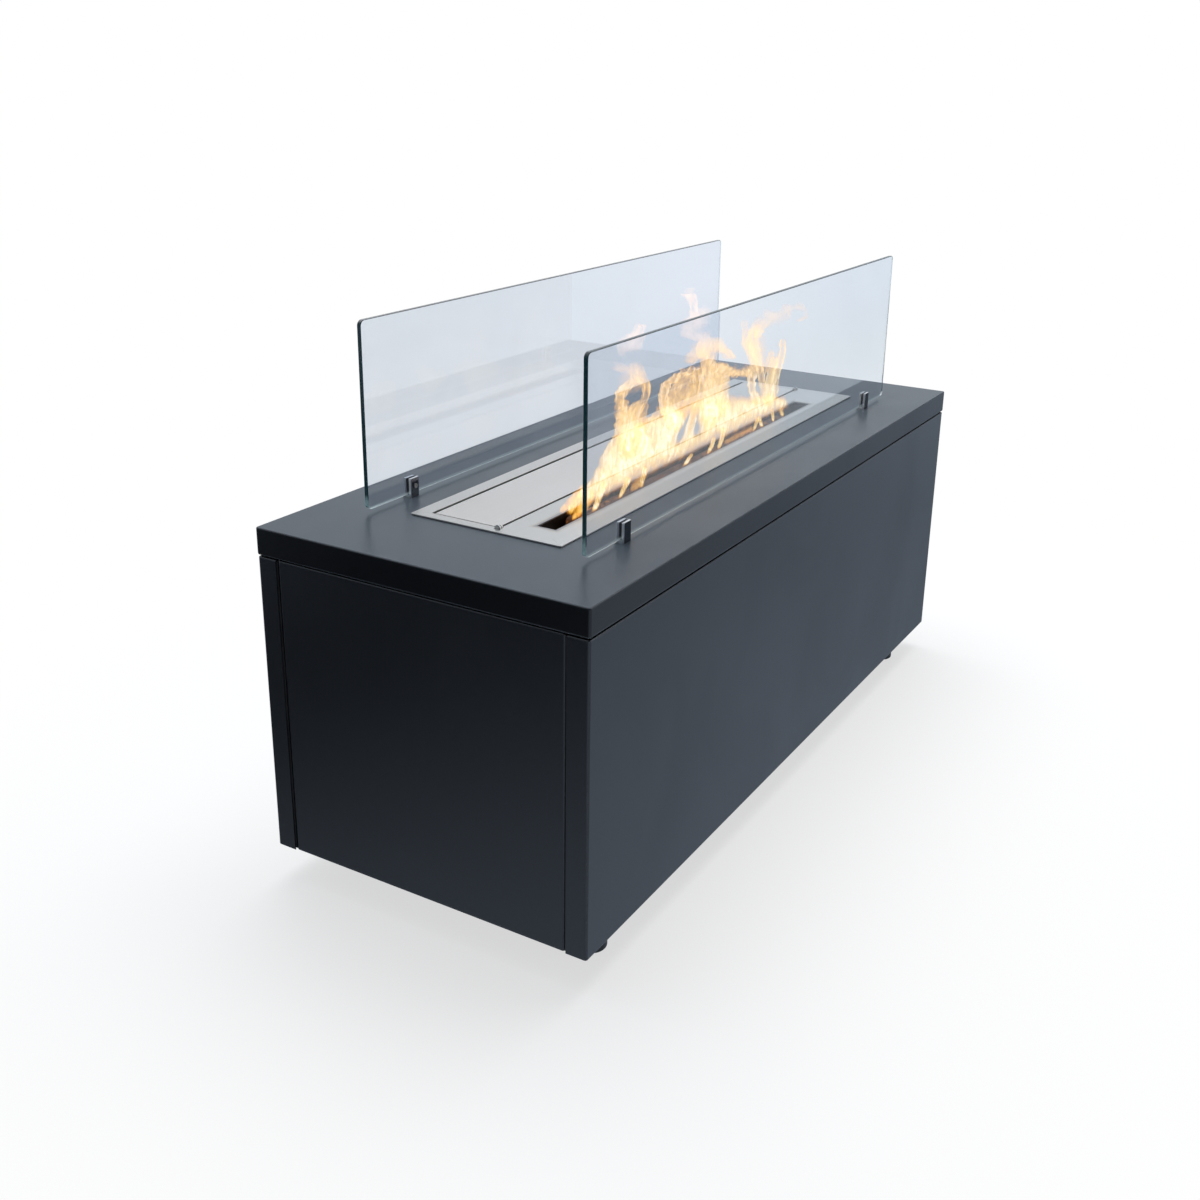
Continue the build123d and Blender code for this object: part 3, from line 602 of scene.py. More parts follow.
def fire():
    """Flame: each skin lets most light through and adds its own, orange to creamy by density.

    The piece's fullness attribute is its density, and its rise attribute the height above the
    cover: the fire turns golden from 55 to 85 mm up, and pale from 110 to 155 mm.
    Reflections show it only faintly."""
    golden, golden_share = (1.00, 0.47, 0.06), 0.45
    pale, pale_share = (0.50, 0.42, 0.40), 0.93
    billow_stretch, streak_stretch = (1.0, 0.3, 0.7), (1.0, 0.3, 0.4)
    most_cover, reflected_share = 0.50, 0.12
    material, tree, sockets, where = new_finish(
        "fire", Roughness=1.0, Specular_IOR_Level=0.0, Emission_Strength=2.4
    )
    heat = add(tree, "ShaderNodeAttribute", attribute_name="fullness").outputs["Fac"]
    rise = add(tree, "ShaderNodeAttribute", attribute_name="rise").outputs["Fac"]
    drawn = stretched(tree, where, billow_stretch)
    billows = grain_noise(tree, drawn, 38.0, detail=3.0, roughness=0.55, distortion=1.6)
    drawn = stretched(tree, where, streak_stretch)
    streaks = grain_noise(tree, drawn, 110.0, detail=2.0, roughness=0.6, distortion=2.2)
    heat = times(tree, heat, fade(tree, billows, 0.30, 0.62, low=0.58, high=1.10))
    streaked = fade(tree, streaks, 0.34, 0.60, low=0.68, high=1.08)
    heat = calc(tree, "MULTIPLY", heat, streaked, clamp=True)

    ramp = add(tree, "ShaderNodeValToRGB")
    put(tree, ramp.inputs[0], heat)
    steps = ramp.color_ramp.elements
    while len(steps) < len(FLAME_COLOURS):
        steps.new(0.5)
    for step, (place, colour) in zip(steps, FLAME_COLOURS):
        step.position = place
        step.color = (*colour, 1.0)
    higher = fade(tree, rise, 0.055, 0.085, high=golden_share)
    glow = tint(tree, higher, ramp.outputs[0], golden)
    glow = tint(tree, fade(tree, rise, 0.110, 0.155, high=pale_share), glow, pale)
    put(tree, sockets["Emission Color"], glow)
    put(tree, sockets["Base Color"], BLACK)

    bounces = add(tree, "ShaderNodeLightPath").outputs["Glossy Depth"]
    straight = calc(tree, "LESS_THAN", bounces, 0.5)
    direct = fade(tree, straight, 0.0, 1.0, low=reflected_share)
    cover = times(tree, calc(tree, "POWER", heat, 1.05), most_cover)
    put(tree, sockets["Alpha"], times(tree, cover, direct))
    material.cycles.emission_sampling = "NONE"
    return material


def dress(material, *names):
    """Gives CAD nodes a finish."""
    for name in names:
        for slot in nodes[name].material_slots:
            slot.material = material


def at_corners(name):
    """The four names of a piece that is at every corner."""
    return [f"{name}_{face}_{side}" for face in ("front", "back") for side in ("left", "right")]


dress(
    powder_coat("coat_cover", cover_low, cover_high, painted_side_shade=0.75, painted_flat_light=0.6, index=1.45),
    "top_cover",
)
dress(powder_coat("coat_long_panels", panel_low, panel_high), "front_panel", "back_panel")
dress(powder_coat("coat_end_panels", end_low, end_high), "end_panel_left", "end_panel_right")
inside = "base_plate burner_well support_rail_left support_rail_right"
dress(inner_paint(), *inside.split(), *at_corners("corner_post"))
dress(
    brushed_steel("rim_steel", (0.82, 0.79, 0.75), rough=0.27, reach=0.010, soot=0.25, seams=True),
    "burner_rim",
)
dress(brushed_steel("hinge_steel", (0.80, 0.80, 0.80), rough=0.30), "hinge_lugs", "hinge_pins")
dress(
    brushed_steel("sooty_steel", (0.20, 0.17, 0.14), rough=0.42, reach=0.020, soot=0.92),
    "flame_channel",
)
dress(brushed_steel("tank_steel", (0.52, 0.52, 0.52), rough=0.33), "fuel_tank")
dress(
    brushed_steel("trough_steel", (0.40, 0.40, 0.40), rough=0.34, reach=0.030, soot=0.3),
    "lid_trough",
    "lid_rest_bars",
)
dress(brushed_steel("lid_steel", (0.94, 0.89, 0.84), rough=0.30), "shutter_lid")
dress(chrome(), *at_corners("glass_clip"))
fasteners = "clip_set_screws clip_bolts cover_studs cover_nuts rail_rivets base_screws base_nuts"
dress(zinc(), *fasteners.split(), "foot_inserts", "foot_nuts", *at_corners("foot_stem"))
dress(clear_glass(), "glass_pane_front", "glass_pane_back")
for name, colour, rough, pebbles, dressed in (
    ("liner_rubber", (0.012, 0.012, 0.013), 0.5, 900.0, ["glass_pads"]),
    ("seal_rubber", (0.014, 0.014, 0.015), 0.6, 700.0, ["rim_gasket"]),
    ("foot_moulding", (0.010, 0.010, 0.011), 0.45, 500.0, at_corners("foot_pad")),
):
    dress(black_moulding(name, colour, rough, pebbles), *dressed)
dress(fibre("ceramic_fibre", pale=(0.50, 0.47, 0.42), dark=(0.20, 0.17, 0.14)), "ceramic_wool")
for name in ("glass_pane_front", "glass_pane_back"):
    nodes[name].visible_shadow = False


# ---------- surfaces
def ripple(a, b, seed, length):
    """A smooth value from about -1 to 1: 2.2 times the mean of nine sine waves of that length.

    Each has its own direction, its own start and its own pace, 0.6 to 1.7 of the length's."""
    waves, gain, slowest, fastest = 9, 2.2, 0.6, 1.7
    rng = np.random.default_rng(seed)
    turn = rng.uniform(0, math.tau, waves)
    start = rng.uniform(0, math.tau, waves)
    pace = rng.uniform(slowest, fastest, waves) * math.tau / length
    across = a[..., None] * pace * np.cos(turn)
    upwards = b[..., None] * pace * np.sin(turn)
    return np.sin(across + upwards + start).mean(axis=-1) * gain


def ripples(a, b, table, base=0.0):
    """A base value plus several ripples, each given as (height, seed, length)."""
    return sum((height * ripple(a, b, seed, length) for height, seed, length in table), base)


def new_object(name, points, faces, material):
    """A smooth mesh object with its finish, from an array of points and a list of faces."""
    mesh = bpy.data.meshes.new(name)
    mesh.from_pydata(points.tolist(), [], faces)
    mesh.polygons.foreach_set("use_smooth", np.ones(len(mesh.polygons), bool))
    mesh.materials.append(material)
    mesh.validate()
    mesh.update()
    piece = bpy.data.objects.new(name, mesh)
    scene.collection.objects.link(piece)
    return piece


def wick_surface():
    """The wick roll as a tube along X over two parameters, its length and the turn round it.

    The section is a rounded rectangle, |cos|^0.6 by |sin|^0.6, with three cords twisted round
    it that stand about half a millimetre proud, fluffed by ripples. Over the last 8 mm at each
    end the radius falls to nothing, as the square root of 1 - (1 - e)^2, where e goes to 0."""
    rings, around, power = 420, 56, 0.6
    twist, end_length = 70.0, 0.008
    plain_radius, cord_height, fluff_height, fluff_length = 0.93, 0.05, 0.03, 14.0
    along = np.linspace(0.0, 1.0, rings)[:, None]
    turn = np.linspace(0.0, math.tau, around, endpoint=False)[None, :]
    length = wick_high.x - wick_low.x
    x = wick_low.x + along * length + 0 * turn
    cords = np.abs(np.sin(1.5 * turn + along * length * twist))
    fluff = ripple(x * MILLIMETRES, turn * 9.0 + 0 * x, 3, fluff_length) * fluff_height
    radius = plain_radius + cord_height * cords + fluff
    from_end = np.minimum(along, 1.0 - along) * length
    close = np.clip(from_end / end_length, 0.0, 1.0)
    radius = np.clip(radius, 0.0, 0.995) * np.sqrt(1.0 - (1.0 - close) ** 2)
    half_y = (wick_high.y - wick_low.y) / 2
    half_z = (wick_high.z - wick_low.z) / 2
    c, s = np.cos(turn), np.sin(turn)
    y = (wick_low.y + half_y) + half_y * radius * np.sign(c) * np.abs(c) ** power
    z = (wick_low.z + half_z) + half_z * radius * np.sign(s) * np.abs(s) ** power
    return np.stack([x, y, z], axis=-1)


def tube_mesh(grid):
    """Points and faces of a tube from a grid of rings, with one point closing each end."""
    rings, around = grid.shape[:2]
    points = grid[1:-1].reshape(-1, 3)
    inner = rings - 2
    i, j = np.meshgrid(np.arange(inner - 1), np.arange(around), indexing="ij")
    k = (j + 1) % around
    ring, following = i * around, (i + 1) * around
    quads = np.stack([ring + j, ring + k, following + k, following + j], axis=-1).reshape(-1, 4)
    first, last = len(points), len(points) + 1
    points = np.vstack([points, grid[0].mean(axis=0), grid[-1].mean(axis=0)])
    j = np.arange(around)
    k = (j + 1) % around
    near_cap = np.stack([np.full(around, first), k, j], axis=-1)
    base = (inner - 1) * around
    far_cap = np.stack([np.full(around, last), base + j, base + k], axis=-1)
    return points, quads.tolist() + near_cap.tolist() + far_cap.tolist()


def make_wick():
    """The scorched wick roll in the flame channel."""
    finish = fibre(
        "scorched_fibre", pale=(0.11, 0.060, 0.038), dark=(0.030, 0.016, 0.010), glow=0.6
    )
    points, faces = tube_mesh(wick_surface())
    wick = new_object("scorched_wick", points, faces, finish)
    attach(wick, "burner")
    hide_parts("wick_roll")


# ---------- fire
# Flame strands: lines of (x, height above the cover, half width), in millimetres,
# each with its strength, set after the fire in the picture.
BED = [
    (0.93, [(-292, 4, 3), (-270, 8, 6), (-250, 12, 9), (-225, 18, 13), (-195, 25, 18),
            (-160, 30, 23), (-117, 33, 25), (-73, 34, 25)]),
    (0.92, [(-73, 34, 25), (-17, 34, 25), (36, 34, 24), (93, 27, 19), (153, 20, 14), (211, 18, 12),
            (244, 10, 7), (264, 4, 3)]),
    (0.85, [(-222, 43, 7), (-205, 50, 9), (-175, 54, 13), (-141, 56, 13), (-106, 55, 12),
            (-75, 55, 11)]),
    (0.85, [(-286, -3, 4), (-274, 6, 6), (-252, 13, 9), (-232, 30, 9), (-216, 45, 9),
            (-196, 58, 7)]),
    (0.70, [(-125, 69, 3), (-108, 74, 2.5), (-88, 73, 3)]),
    (0.50, [(-306, 8, 2), (-290, 13, 4), (-270, 18, 5), (-250, 23, 5)]),
    (0.60, [(248, 16, 5), (258, 8, 4), (268, -2, 3)]),
    (0.14, [(-270, 0, 4), (-200, 1, 5), (-100, 1, 6), (0, 1, 6), (100, 1, 6), (200, 0, 5),
            (255, 0, 4)]),
]
TONGUES = [
    (0.80, [(-190, 160, 3), (-178, 166, 7), (-165, 170, 9), (-154, 174, 6), (-146, 179, 2)]),
    (0.55, [(-178, 163, 5), (-171, 175, 6), (-168, 184, 2)]),
    (0.55, [(-206, 146, 2), (-196, 142, 4), (-182, 137, 4)]),
    (0.62, [(-178, 127, 6), (-166, 133, 7), (-152, 129, 5)]),
    (0.96, [(-180, 50, 12), (-184, 72, 10), (-187, 88, 9), (-191, 100, 7), (-194, 110, 5),
            (-190, 117, 3)]),
    (0.75, [(-194, 112, 4), (-186, 120, 5), (-172, 125, 4), (-162, 122, 4), (-154, 116, 4)]),
    (0.62, [(-166, 90, 8), (-155, 99, 5), (-151, 108, 4), (-153, 116, 3)]),
    (0.42, [(-152, 111, 6), (-140, 109, 6), (-127, 105, 3)]),
    (0.88, [(-160, 50, 14), (-166, 70, 11), (-168, 86, 8)]),
    (0.52, [(-148, 66, 9), (-144, 78, 7), (-140, 85, 4)]),
    (0.96, [(-68, 52, 9), (-82, 67, 7), (-94, 81, 5), (-99, 91, 4), (-92, 99, 3), (-80, 105, 3),
            (-64, 110, 2.5), (-46, 113, 2.5)]),
    (0.58, [(-62, 60, 16), (-68, 80, 16), (-60, 95, 11), (-45, 104, 7)]),
    (0.74, [(-27, 60, 14), (-34, 80, 14), (-28, 96, 10), (-14, 107, 5)]),
    (0.50, [(-76, 72, 3), (-69, 86, 2.5), (-55, 98, 2.5), (-40, 107, 2)]),
    (0.55, [(-50, 66, 4), (-41, 82, 3), (-29, 96, 3), (-14, 106, 3)]),
    (0.45, [(-38, 78, 6), (-31, 88, 7), (-26, 97, 5)]),
    (0.97, [(28, 50, 21), (28, 72, 19), (28, 90, 16), (26, 103, 12), (22, 112, 5)]),
    (0.80, [(2, 56, 12), (3, 76, 11), (5, 94, 8), (9, 106, 5)]),
    (0.90, [(34, 56, 14), (34, 78, 13), (32, 96, 10), (27, 109, 6)]),
    (0.92, [(62, 46, 12), (61, 62, 10), (57, 80, 7), (51, 97, 4)]),
    (0.62, [(-48, 127, 5), (-30, 130, 8), (-10, 130, 8), (14, 124, 9)]),
    (0.72, [(70, 110, 3), (58, 119, 6), (38, 129, 7), (12, 137, 7), (-10, 143, 6), (-26, 149, 5),
            (-38, 155, 4)]),
    (0.70, [(-40, 154, 4), (-40, 163, 5), (-30, 168, 6), (-22, 176, 6), (-30, 186, 5),
            (-40, 195, 3), (-50, 201, 1.5)]),
    (0.45, [(-30, 166, 4), (-5, 168, 6), (12, 173, 3)]),
    (0.32, [(-20, 178, 9), (-14, 190, 9), (-10, 199, 5)]),
    (0.85, [(54, 98, 3), (70, 88, 3), (86, 82, 3), (101, 81, 3), (120, 79, 3), (134, 76, 4),
            (140, 72, 5)]),
    (0.72, [(140, 58, 5), (138, 68, 6), (144, 79, 7), (150, 89, 8), (149, 100, 7), (139, 111, 6),
            (124, 124, 5), (117, 134, 4), (114, 144, 1.5)]),
    (0.70, [(166, 72, 4), (162, 86, 7), (164, 98, 7), (168, 111, 6), (171, 122, 6), (176, 133, 5),
            (182, 142, 6), (178, 151, 3)]),
    (0.60, [(150, 128, 4), (147, 136, 5), (142, 142, 2)]),
    (0.55, [(155, 92, 11), (156, 106, 10), (158, 118, 7)]),
    (0.66, [(186, 142, 5), (200, 141, 5), (219, 145, 5), (240, 144, 4), (262, 142, 3),
            (284, 143, 1.5)]),
    (0.35, [(276, 142, 2.5), (280, 132, 2.5), (276, 122, 1.5)]),
    (0.85, [(222, 34, 4), (217, 50, 4), (218, 62, 3), (222, 74, 3), (229, 84, 4), (240, 88, 3),
            (254, 94, 1.5)]),
    (0.60, [(196, 92, 2.5), (190, 80, 4), (182, 72, 4), (174, 62, 3)]),
    (0.80, [(203, 30, 12), (203, 50, 10), (204, 66, 9), (206, 78, 5)]),
    (0.88, [(160, 34, 7), (150, 45, 5), (142, 57, 4), (138, 68, 5)]),
    (0.80, [(192, 32, 7), (184, 45, 5), (176, 57, 3.5), (168, 68, 3.5), (160, 78, 4)]),
    (0.34, [(160, 84, 17), (160, 104, 18), (158, 124, 14), (166, 140, 8)]),
    (0.34, [(212, 40, 13), (212, 62, 12), (220, 80, 9), (238, 92, 4)]),
    (0.30, [(190, 138, 9), (220, 140, 9), (252, 138, 7)]),
    (0.26, [(-186, 128, 12), (-164, 122, 12), (-140, 112, 9)]),
    (0.30, [(-30, 128, 12), (0, 128, 14), (34, 122, 12)]),
    (0.24, [(-30, 150, 8), (-26, 168, 10), (-30, 186, 8)]),
    (0.24, [(75, 96, 4), (98, 87, 5), (122, 85, 6)]),
]
LICKS = [
    (0.50, [(-298, 1, 4), (-283, 9, 6), (-268, 19, 5)]),
    (0.97, [(-266, -2, 3), (-258, 6, 4), (-252, 15, 4.5), (-244, 24, 3)]),
    (0.92, [(-210, 0, 2), (-202, 7, 3.5), (-192, 16, 3.5)]),
    (0.42, [(-180, 3, 5), (-166, 6, 6), (-156, 10, 4)]),
    (0.85, [(-161, 1, 2.5), (-159, 10, 3.5), (-155, 18, 3)]),
    (0.92, [(-62, -2, 1.5), (-51, 3, 3), (-41, 8, 2)]),
    (0.85, [(4, 0, 2.5), (14, 7, 3.5), (18, 14, 3)]),
    (0.95, [(34, 1, 3.5), (41, 9, 4.5), (44, 18, 3.5)]),
    (0.30, [(53, 3, 3), (78, 3, 4), (103, 3, 4), (128, 4, 3)]),
    (0.90, [(133, -3, 2), (139, 4, 3), (145, 13, 2.5)]),
    (0.90, [(164, -3, 2), (157, 4, 3), (151, 13, 2.5)]),
    (0.90, [(197, -3, 2), (195, 5, 3), (191, 15, 2.5)]),
    (0.80, [(228, 0, 2.5), (221, 8, 3.5)]),
]
# Places where the fire parts: (x, height, half width, half height, lean), in millimetres.
PARTINGS = [
    (-168, 107, 7, 9, -1.1), (-134, 95, 12, 5, 0.2), (-113, 88, 10, 12, 0.0),
    (-49, 34, 16, 13, -0.5), (-33, 48, 9, 11, -0.8),
    (-7, 31, 13, 10, 0.0), (-7, 45, 7, 12, -0.6), (-24, 119, 12, 6, 0.0), (98, 95, 22, 8, 0.0),
    (101, 67, 20, 9, 0.0), (157, 58, 10, 11, 0.0),
]

# How ripples stir the fire sideways and upwards, make its foot ragged and lean it:
# (height, seed, length), with lengths and the stirring's heights in millimetres.
STIR_X = [(2.2, 11, 40.0), (2.0, 12, 13.0), (1.3, 17, 7.5)]
STIR_Z = [(2.2, 13, 38.0), (2.0, 14, 15.0), (1.3, 18, 8.5)]
RAGGED_FOOT = [(0.45, 19, 9.0), (0.35, 20, 24.0)]
LEANING = [(1.0, 15, 120.0), (0.4, 16, 45.0)]

# Heights above the cover, in millimetres.
GRID_FOOT, GRID_TOP, FIRE_FOOT = -4.0, 203.0, -2.0
FULLY_STIRRED, FULLY_THICK = 60.0, 12.0
LEAN_START, LEAN_RUN = 35.0, 100.0

STRAND_SPREAD, STRAND_EDGE = 1.45, 2.4
LEAST_DENSITY, FOOT_THICKNESS = 0.03, 0.35


def flame_density(x, z, strands):
    """How dense the fire is at each point of a grid in millimetres.

    Each strand gives its strength times 1 - (d / w)^2.4, where d is the distance to its line
    and w 1.45 times its half width there, and strands join as 1 - (1 - a)(1 - b)."""
    clear = np.ones_like(x)
    for strength, line in strands:
        best = np.zeros_like(x)
        for (xa, za, wa), (xb, zb, wb) in zip(line[:-1], line[1:]):
            run_x, run_z = xb - xa, zb - za
            share = ((x - xa) * run_x + (z - za) * run_z) / (run_x**2 + run_z**2)
            share = np.clip(share, 0.0, 1.0)
            off = np.hypot(x - xa - share * run_x, z - za - share * run_z)
            wide = STRAND_SPREAD * (wa + share * (wb - wa))
            best = np.maximum(best, np.clip(1.0 - (off / wide) ** STRAND_EDGE, 0.0, 1.0))
        clear *= 1.0 - strength * best
    return 1.0 - clear


def open_partings(density, x, z, partings):
    """Takes a soft leaning ellipse out of the density at each parting.

    The density is multiplied by 1 - exp(-e^2), where e is 0 at the parting's middle and 1 on
    its ellipse: the sum of the squares of x and z from the middle, each over its half size,
    with x taken from a line that leans."""
    for middle, height, half_x, half_z, lean in partings:
        rise = z - height
        away = ((x - middle + lean * rise) / half_x) ** 2 + (rise / half_z) ** 2
        density = density * (1.0 - np.exp(-(away**2)))
    return density


def flame_grid(strands, spacing):
    """A grid of x and height, in millimetres, that leaves room all round the strands."""
    across, up, wide = np.array([point for _, line in strands for point in line]).T
    room = 1.3 * wide.max() + 6.0
    x = np.arange(across.min() - room, across.max() + room, spacing)
    z = np.arange(GRID_FOOT, min(up.max() + room, GRID_TOP), spacing)
    return np.meshgrid(x, z, indexing="ij")


def lens_mesh(x, z, middle_y, skin, lit):
    """Points and quads of a closed lens over a grid, and which points of the two skins they are.

    The skins stand at middle_y -+ skin. Only cells with a lit corner are kept, and the skins
    share a point wherever it isn't lit. All in millimetres."""
    height = cover_top * MILLIMETRES + z
    front = np.stack([x, middle_y - skin, height], axis=-1).reshape(-1, 3)
    back = np.stack([x, middle_y + skin, height], axis=-1).reshape(-1, 3)
    ahead = np.arange(x.size).reshape(x.shape)
    behind = np.where(lit, ahead + x.size, ahead)
    cells = lit[:-1, :-1] | lit[1:, :-1] | lit[1:, 1:] | lit[:-1, 1:]

    def quads_of(numbered, order):
        rings = [numbered[:-1, :-1], numbered[1:, :-1], numbered[1:, 1:], numbered[:-1, 1:]]
        return np.stack([rings[k][cells] for k in order], axis=-1)

    quads = np.vstack([quads_of(ahead, (0, 1, 2, 3)), quads_of(behind, (3, 2, 1, 0))])
    used, quads = np.unique(quads, return_inverse=True)
    return np.vstack([front, back])[used], quads.reshape(-1, 4), used


def new_piece(name, points, quads, material, body, values):
    """A mesh from arrays of points and quads, with its finish, body, slot and point values."""
    piece = new_object(name, points, quads.tolist(), material)
    for label, numbers in values.items():
        attribute = piece.data.attributes.new(label, "FLOAT", "POINT")
        attribute.data.foreach_set("value", numbers.astype(np.float32))
    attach(piece, body)
    return piece


def make_flames(name, strands, spacing, line_y, sway, thickness, root, material, partings):
    """A sheet of fire as one closed lens over a grid of x and height, in millimetres.

    Ripples stir the grid, fully from 60 mm up, and flame_density and open_partings give its
    density. Over about the first root millimetres above the wick the fire is thinner, in
    ragged streaks. The two skins stand at line_y + lean -+ thickness * density^0.5, less below
    12 mm, and meet where the density is 0. The lean is sway times ripples, growing from 35 to
    135 mm up."""
    x, z = flame_grid(strands, spacing)
    stirred = np.clip(z, 0, FULLY_STIRRED) / FULLY_STIRRED
    stirred_x = x + stirred * ripples(x, z, STIR_X)
    stirred_z = z + stirred * ripples(x, z, STIR_Z)
    density = flame_density(stirred_x, stirred_z, strands)
    density = open_partings(density, x, z, partings)
    ragged = root * ripples(x, 0.2 * z, RAGGED_FOOT, base=1.0)
    density *= np.clip((z - FIRE_FOOT) / np.maximum(ragged, 0.25 * root), 0.0, 1.0)
    density = np.clip(density - LEAST_DENSITY, 0.0, None) / (1.0 - LEAST_DENSITY)
    leaning = np.clip((z - LEAN_START) / LEAN_RUN, 0.0, 1.0)
    lean = sway * leaning * ripples(x, z, LEANING)
    widening = np.clip(z / FULLY_THICK, 0, 1)
    skin = thickness * np.sqrt(density)
    skin = skin * (FOOT_THICKNESS + (1.0 - FOOT_THICKNESS) * widening)
    points, quads, used = lens_mesh(x, z, line_y + lean, skin, density > 0)
    rise = np.clip(z, 0, None) / MILLIMETRES
    values = {
        "fullness": np.tile(density.reshape(-1), 2)[used],
        "rise": np.tile(rise.reshape(-1), 2)[used],
    }
    piece = new_piece(name, points / MILLIMETRES, quads, material, "burner", values)
    piece.visible_shadow = False
    piece.visible_diffuse = False
    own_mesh(piece)


burning = fire()
make_wick()
for name, strands, spacing, line_y, sway, thickness, root, partings in (
    ("flame_bed", BED, 1.6, -45.0, 5.0, 4.0, 19.0, PARTINGS),
    ("flame_tongues", TONGUES, 1.4, -46.0, 12.0, 4.5, 10.0, PARTINGS),
    ("flame_licks", LICKS, 0.8, -56.0, 2.0, 2.0, 3.0, ()),
):
    make_flames(name, strands, spacing, line_y, sway, thickness, root, burning, partings)


# ---------- floor, surround and lamps
# Red, green and blue shares of the floor's and the surround's white, in reflections.
FLOOR_SHARES = (0.68, 0.82, 1.0)
SURROUND_SHARES = (0.86, 0.93, 1.0)


def floor_in_reflections(tree, x, y):
    """How bright reflections show the floor, place by place.

    Close to the object it falls off towards the far end, and over 0.75 m in front it rises
    towards that end. Well in front it is brighter. It is nearly black past the near end,
    towards the back, but not behind the object."""
    close = fade(tree, x, -0.2, 1.3, low=0.60, high=0.47)
    in_front = fade(tree, x, 0.4, 2.2, low=0.42, high=0.64)
    closeness = fade(tree, y, -0.75, -0.60)
    level = raised(tree, in_front, closeness, by=minus(tree, close, in_front))
    level = calc(tree, "ADD", level, fade(tree, y, -1.5, -0.85, low=0.50, high=0.0))
    diagonal = raised(tree, times(tree, x, 0.50), y, by=-0.87)
    past_near_end = fade(tree, diagonal, -0.98, 0.05, low=0.04)
    behind = fade(tree, raised(tree, y, x, by=0.5), 0.2, 0.9, high=0.70)
    return times(tree, level, highest(tree, past_near_end, behind))


def seen_plainly(tree):
    """A light path's outputs, and 1 for what the eye sees straight or through glass, else 0."""
    path = add(tree, "ShaderNodeLightPath").outputs
    return path, highest(tree, path["Is Camera Ray"], path["Is Transmission Ray"])


def make_floor():
    """A white floor that keeps the object's shadow, and is cool and dimmed in reflections.

    To the eye it is two thirds plain white at the object and wholly so from 0.75 m off."""
    half, paint = 14.0, (0.85, 0.85, 0.85)
    least_plain, plain_start, plain_end = 0.65, 0.02, 0.75
    mesh = bpy.data.meshes.new("studio_floor")
    corners = [(-half, -half, 0), (half, -half, 0), (half, half, 0), (-half, half, 0)]
    mesh.from_pydata(corners, [], [(0, 1, 2, 3)])
    floor = bpy.data.objects.new("studio_floor", mesh)
    scene.collection.objects.link(floor)
    material = bpy.data.materials.new("studio_floor")
    material.use_nodes = True
    tree = material.node_tree
    tree.nodes.clear()
    path, seen = seen_plainly(tree)
    glossy = calc(tree, "SUBTRACT", path["Is Glossy Ray"], path["Is Transmission Ray"], clamp=True)
    x, y = split(tree, add(tree, "ShaderNodeTexCoord").outputs["Object"])[:2]
    level = floor_in_reflections(tree, x, y)
    colour = add(tree, "ShaderNodeCombineColor")
    for socket, share in zip(colour.inputs, FLOOR_SHARES):
        dimming = times(tree, glossy, minus(tree, times(tree, level, share), 1.0))
        put(tree, socket, calc(tree, "ADD", dimming, 1.0))
    out_x = highest(tree, past(tree, x, cover_high.x), 0.0)
    out_y = highest(tree, past(tree, y, cover_high.y), 0.0)
    squares = calc(tree, "ADD", times(tree, out_x, out_x), times(tree, out_y, out_y))
    away = calc(tree, "SQRT", squares)
    plain = times(tree, seen, fade(tree, away, plain_start, plain_end, low=least_plain))
    lit = add(tree, "ShaderNodeBsdfDiffuse")
    put(tree, lit.inputs["Color"], paint)
    white = add(tree, "ShaderNodeEmission")
    put(tree, white.inputs["Color"], colour.outputs[0])
    mix = add(tree, "ShaderNodeMixShader")
    put(tree, mix.inputs[0], highest(tree, plain, glossy))
    put(tree, mix.inputs[1], lit.outputs[0])
    put(tree, mix.inputs[2], white.outputs[0])
    put(tree, add(tree, "ShaderNodeOutputMaterial").inputs["Surface"], mix.outputs[0])
    mesh.materials.append(material)


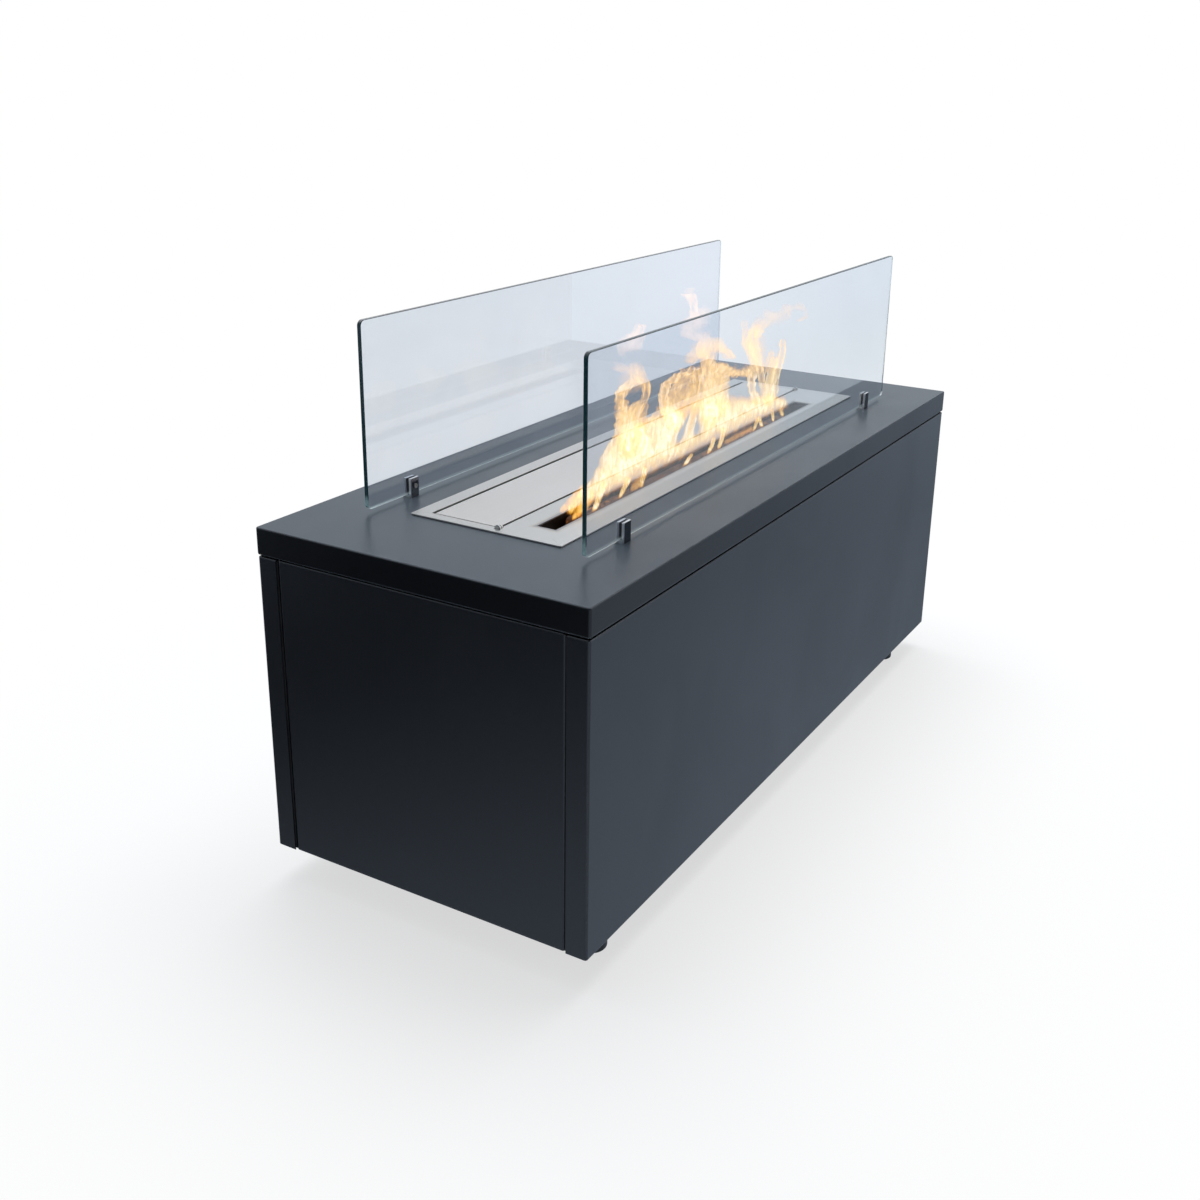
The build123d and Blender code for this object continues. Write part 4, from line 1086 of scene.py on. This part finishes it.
def make_world():
    """A surround that is white to the eye and through glass.

    To reflections and soft light it is cool, and nearly black away from its bright side,
    which is up, behind and towards the far end. It is a little dimmer low down and straight
    behind."""
    bright_side = (0.45, 0.75, 0.48)
    world = bpy.data.worlds.new("studio_surround")
    world.use_nodes = True
    tree = world.node_tree
    tree.nodes.clear()
    seen = seen_plainly(tree)[1]
    direction = add(tree, "ShaderNodeTexCoord").outputs["Generated"]
    lean = add(tree, "ShaderNodeVectorMath", operation="DOT_PRODUCT")
    put(tree, lean.inputs[0], direction)
    put(tree, lean.inputs[1], bright_side)
    parts = split(tree, direction)
    low_down = fade(tree, parts["Z"], 0.15, 0.33, low=0.68)
    straight_behind = fade(tree, parts["Y"], 0.45, 0.75, low=1.0, high=0.80)
    glow = fade(tree, lean.outputs["Value"], -0.10, 0.80, low=0.03, high=0.99)
    glow = times(tree, glow, times(tree, low_down, straight_behind))
    level = calc(tree, "ADD", times(tree, seen, minus(tree, 1.0, glow)), glow)
    colour = add(tree, "ShaderNodeCombineColor")
    for socket, share in zip(colour.inputs, SURROUND_SHARES):
        cool = raised(tree, share, seen, by=1.0 - share)
        put(tree, socket, times(tree, level, cool))
    background = add(tree, "ShaderNodeBackground")
    put(tree, background.inputs["Color"], colour.outputs[0])
    put(tree, add(tree, "ShaderNodeOutputWorld").inputs["Surface"], background.outputs[0])
    scene.world = world


def softbox(name, place, towards, width, height, watts):
    """A rectangular soft lamp aimed at a point, which isn't seen directly or through glass."""
    data = bpy.data.lights.new(name, "AREA")
    data.shape = "RECTANGLE"
    data.size = width
    data.size_y = height
    data.energy = watts
    lamp = bpy.data.objects.new(name, data)
    lamp.location = place
    lamp.rotation_euler = (Vector(towards) - Vector(place)).to_track_quat("-Z", "Y").to_euler()
    lamp.visible_camera = False
    lamp.visible_transmission = False
    scene.collection.objects.link(lamp)
    return lamp


photo_camera()
make_floor()
make_world()
overhead = softbox(
    "overhead_softbox", (0.5, 0.2, 2.6), towards=(0.1, 0.0, 0.3), width=2.6, height=1.8, watts=66
)
overhead.visible_glossy = False
softbox(
    "front_softbox", (1.4, -2.6, 1.3), towards=(0.0, 0.0, 0.3), width=1.8, height=1.4, watts=16
)

view = scene.view_settings
view.view_transform = "Standard"
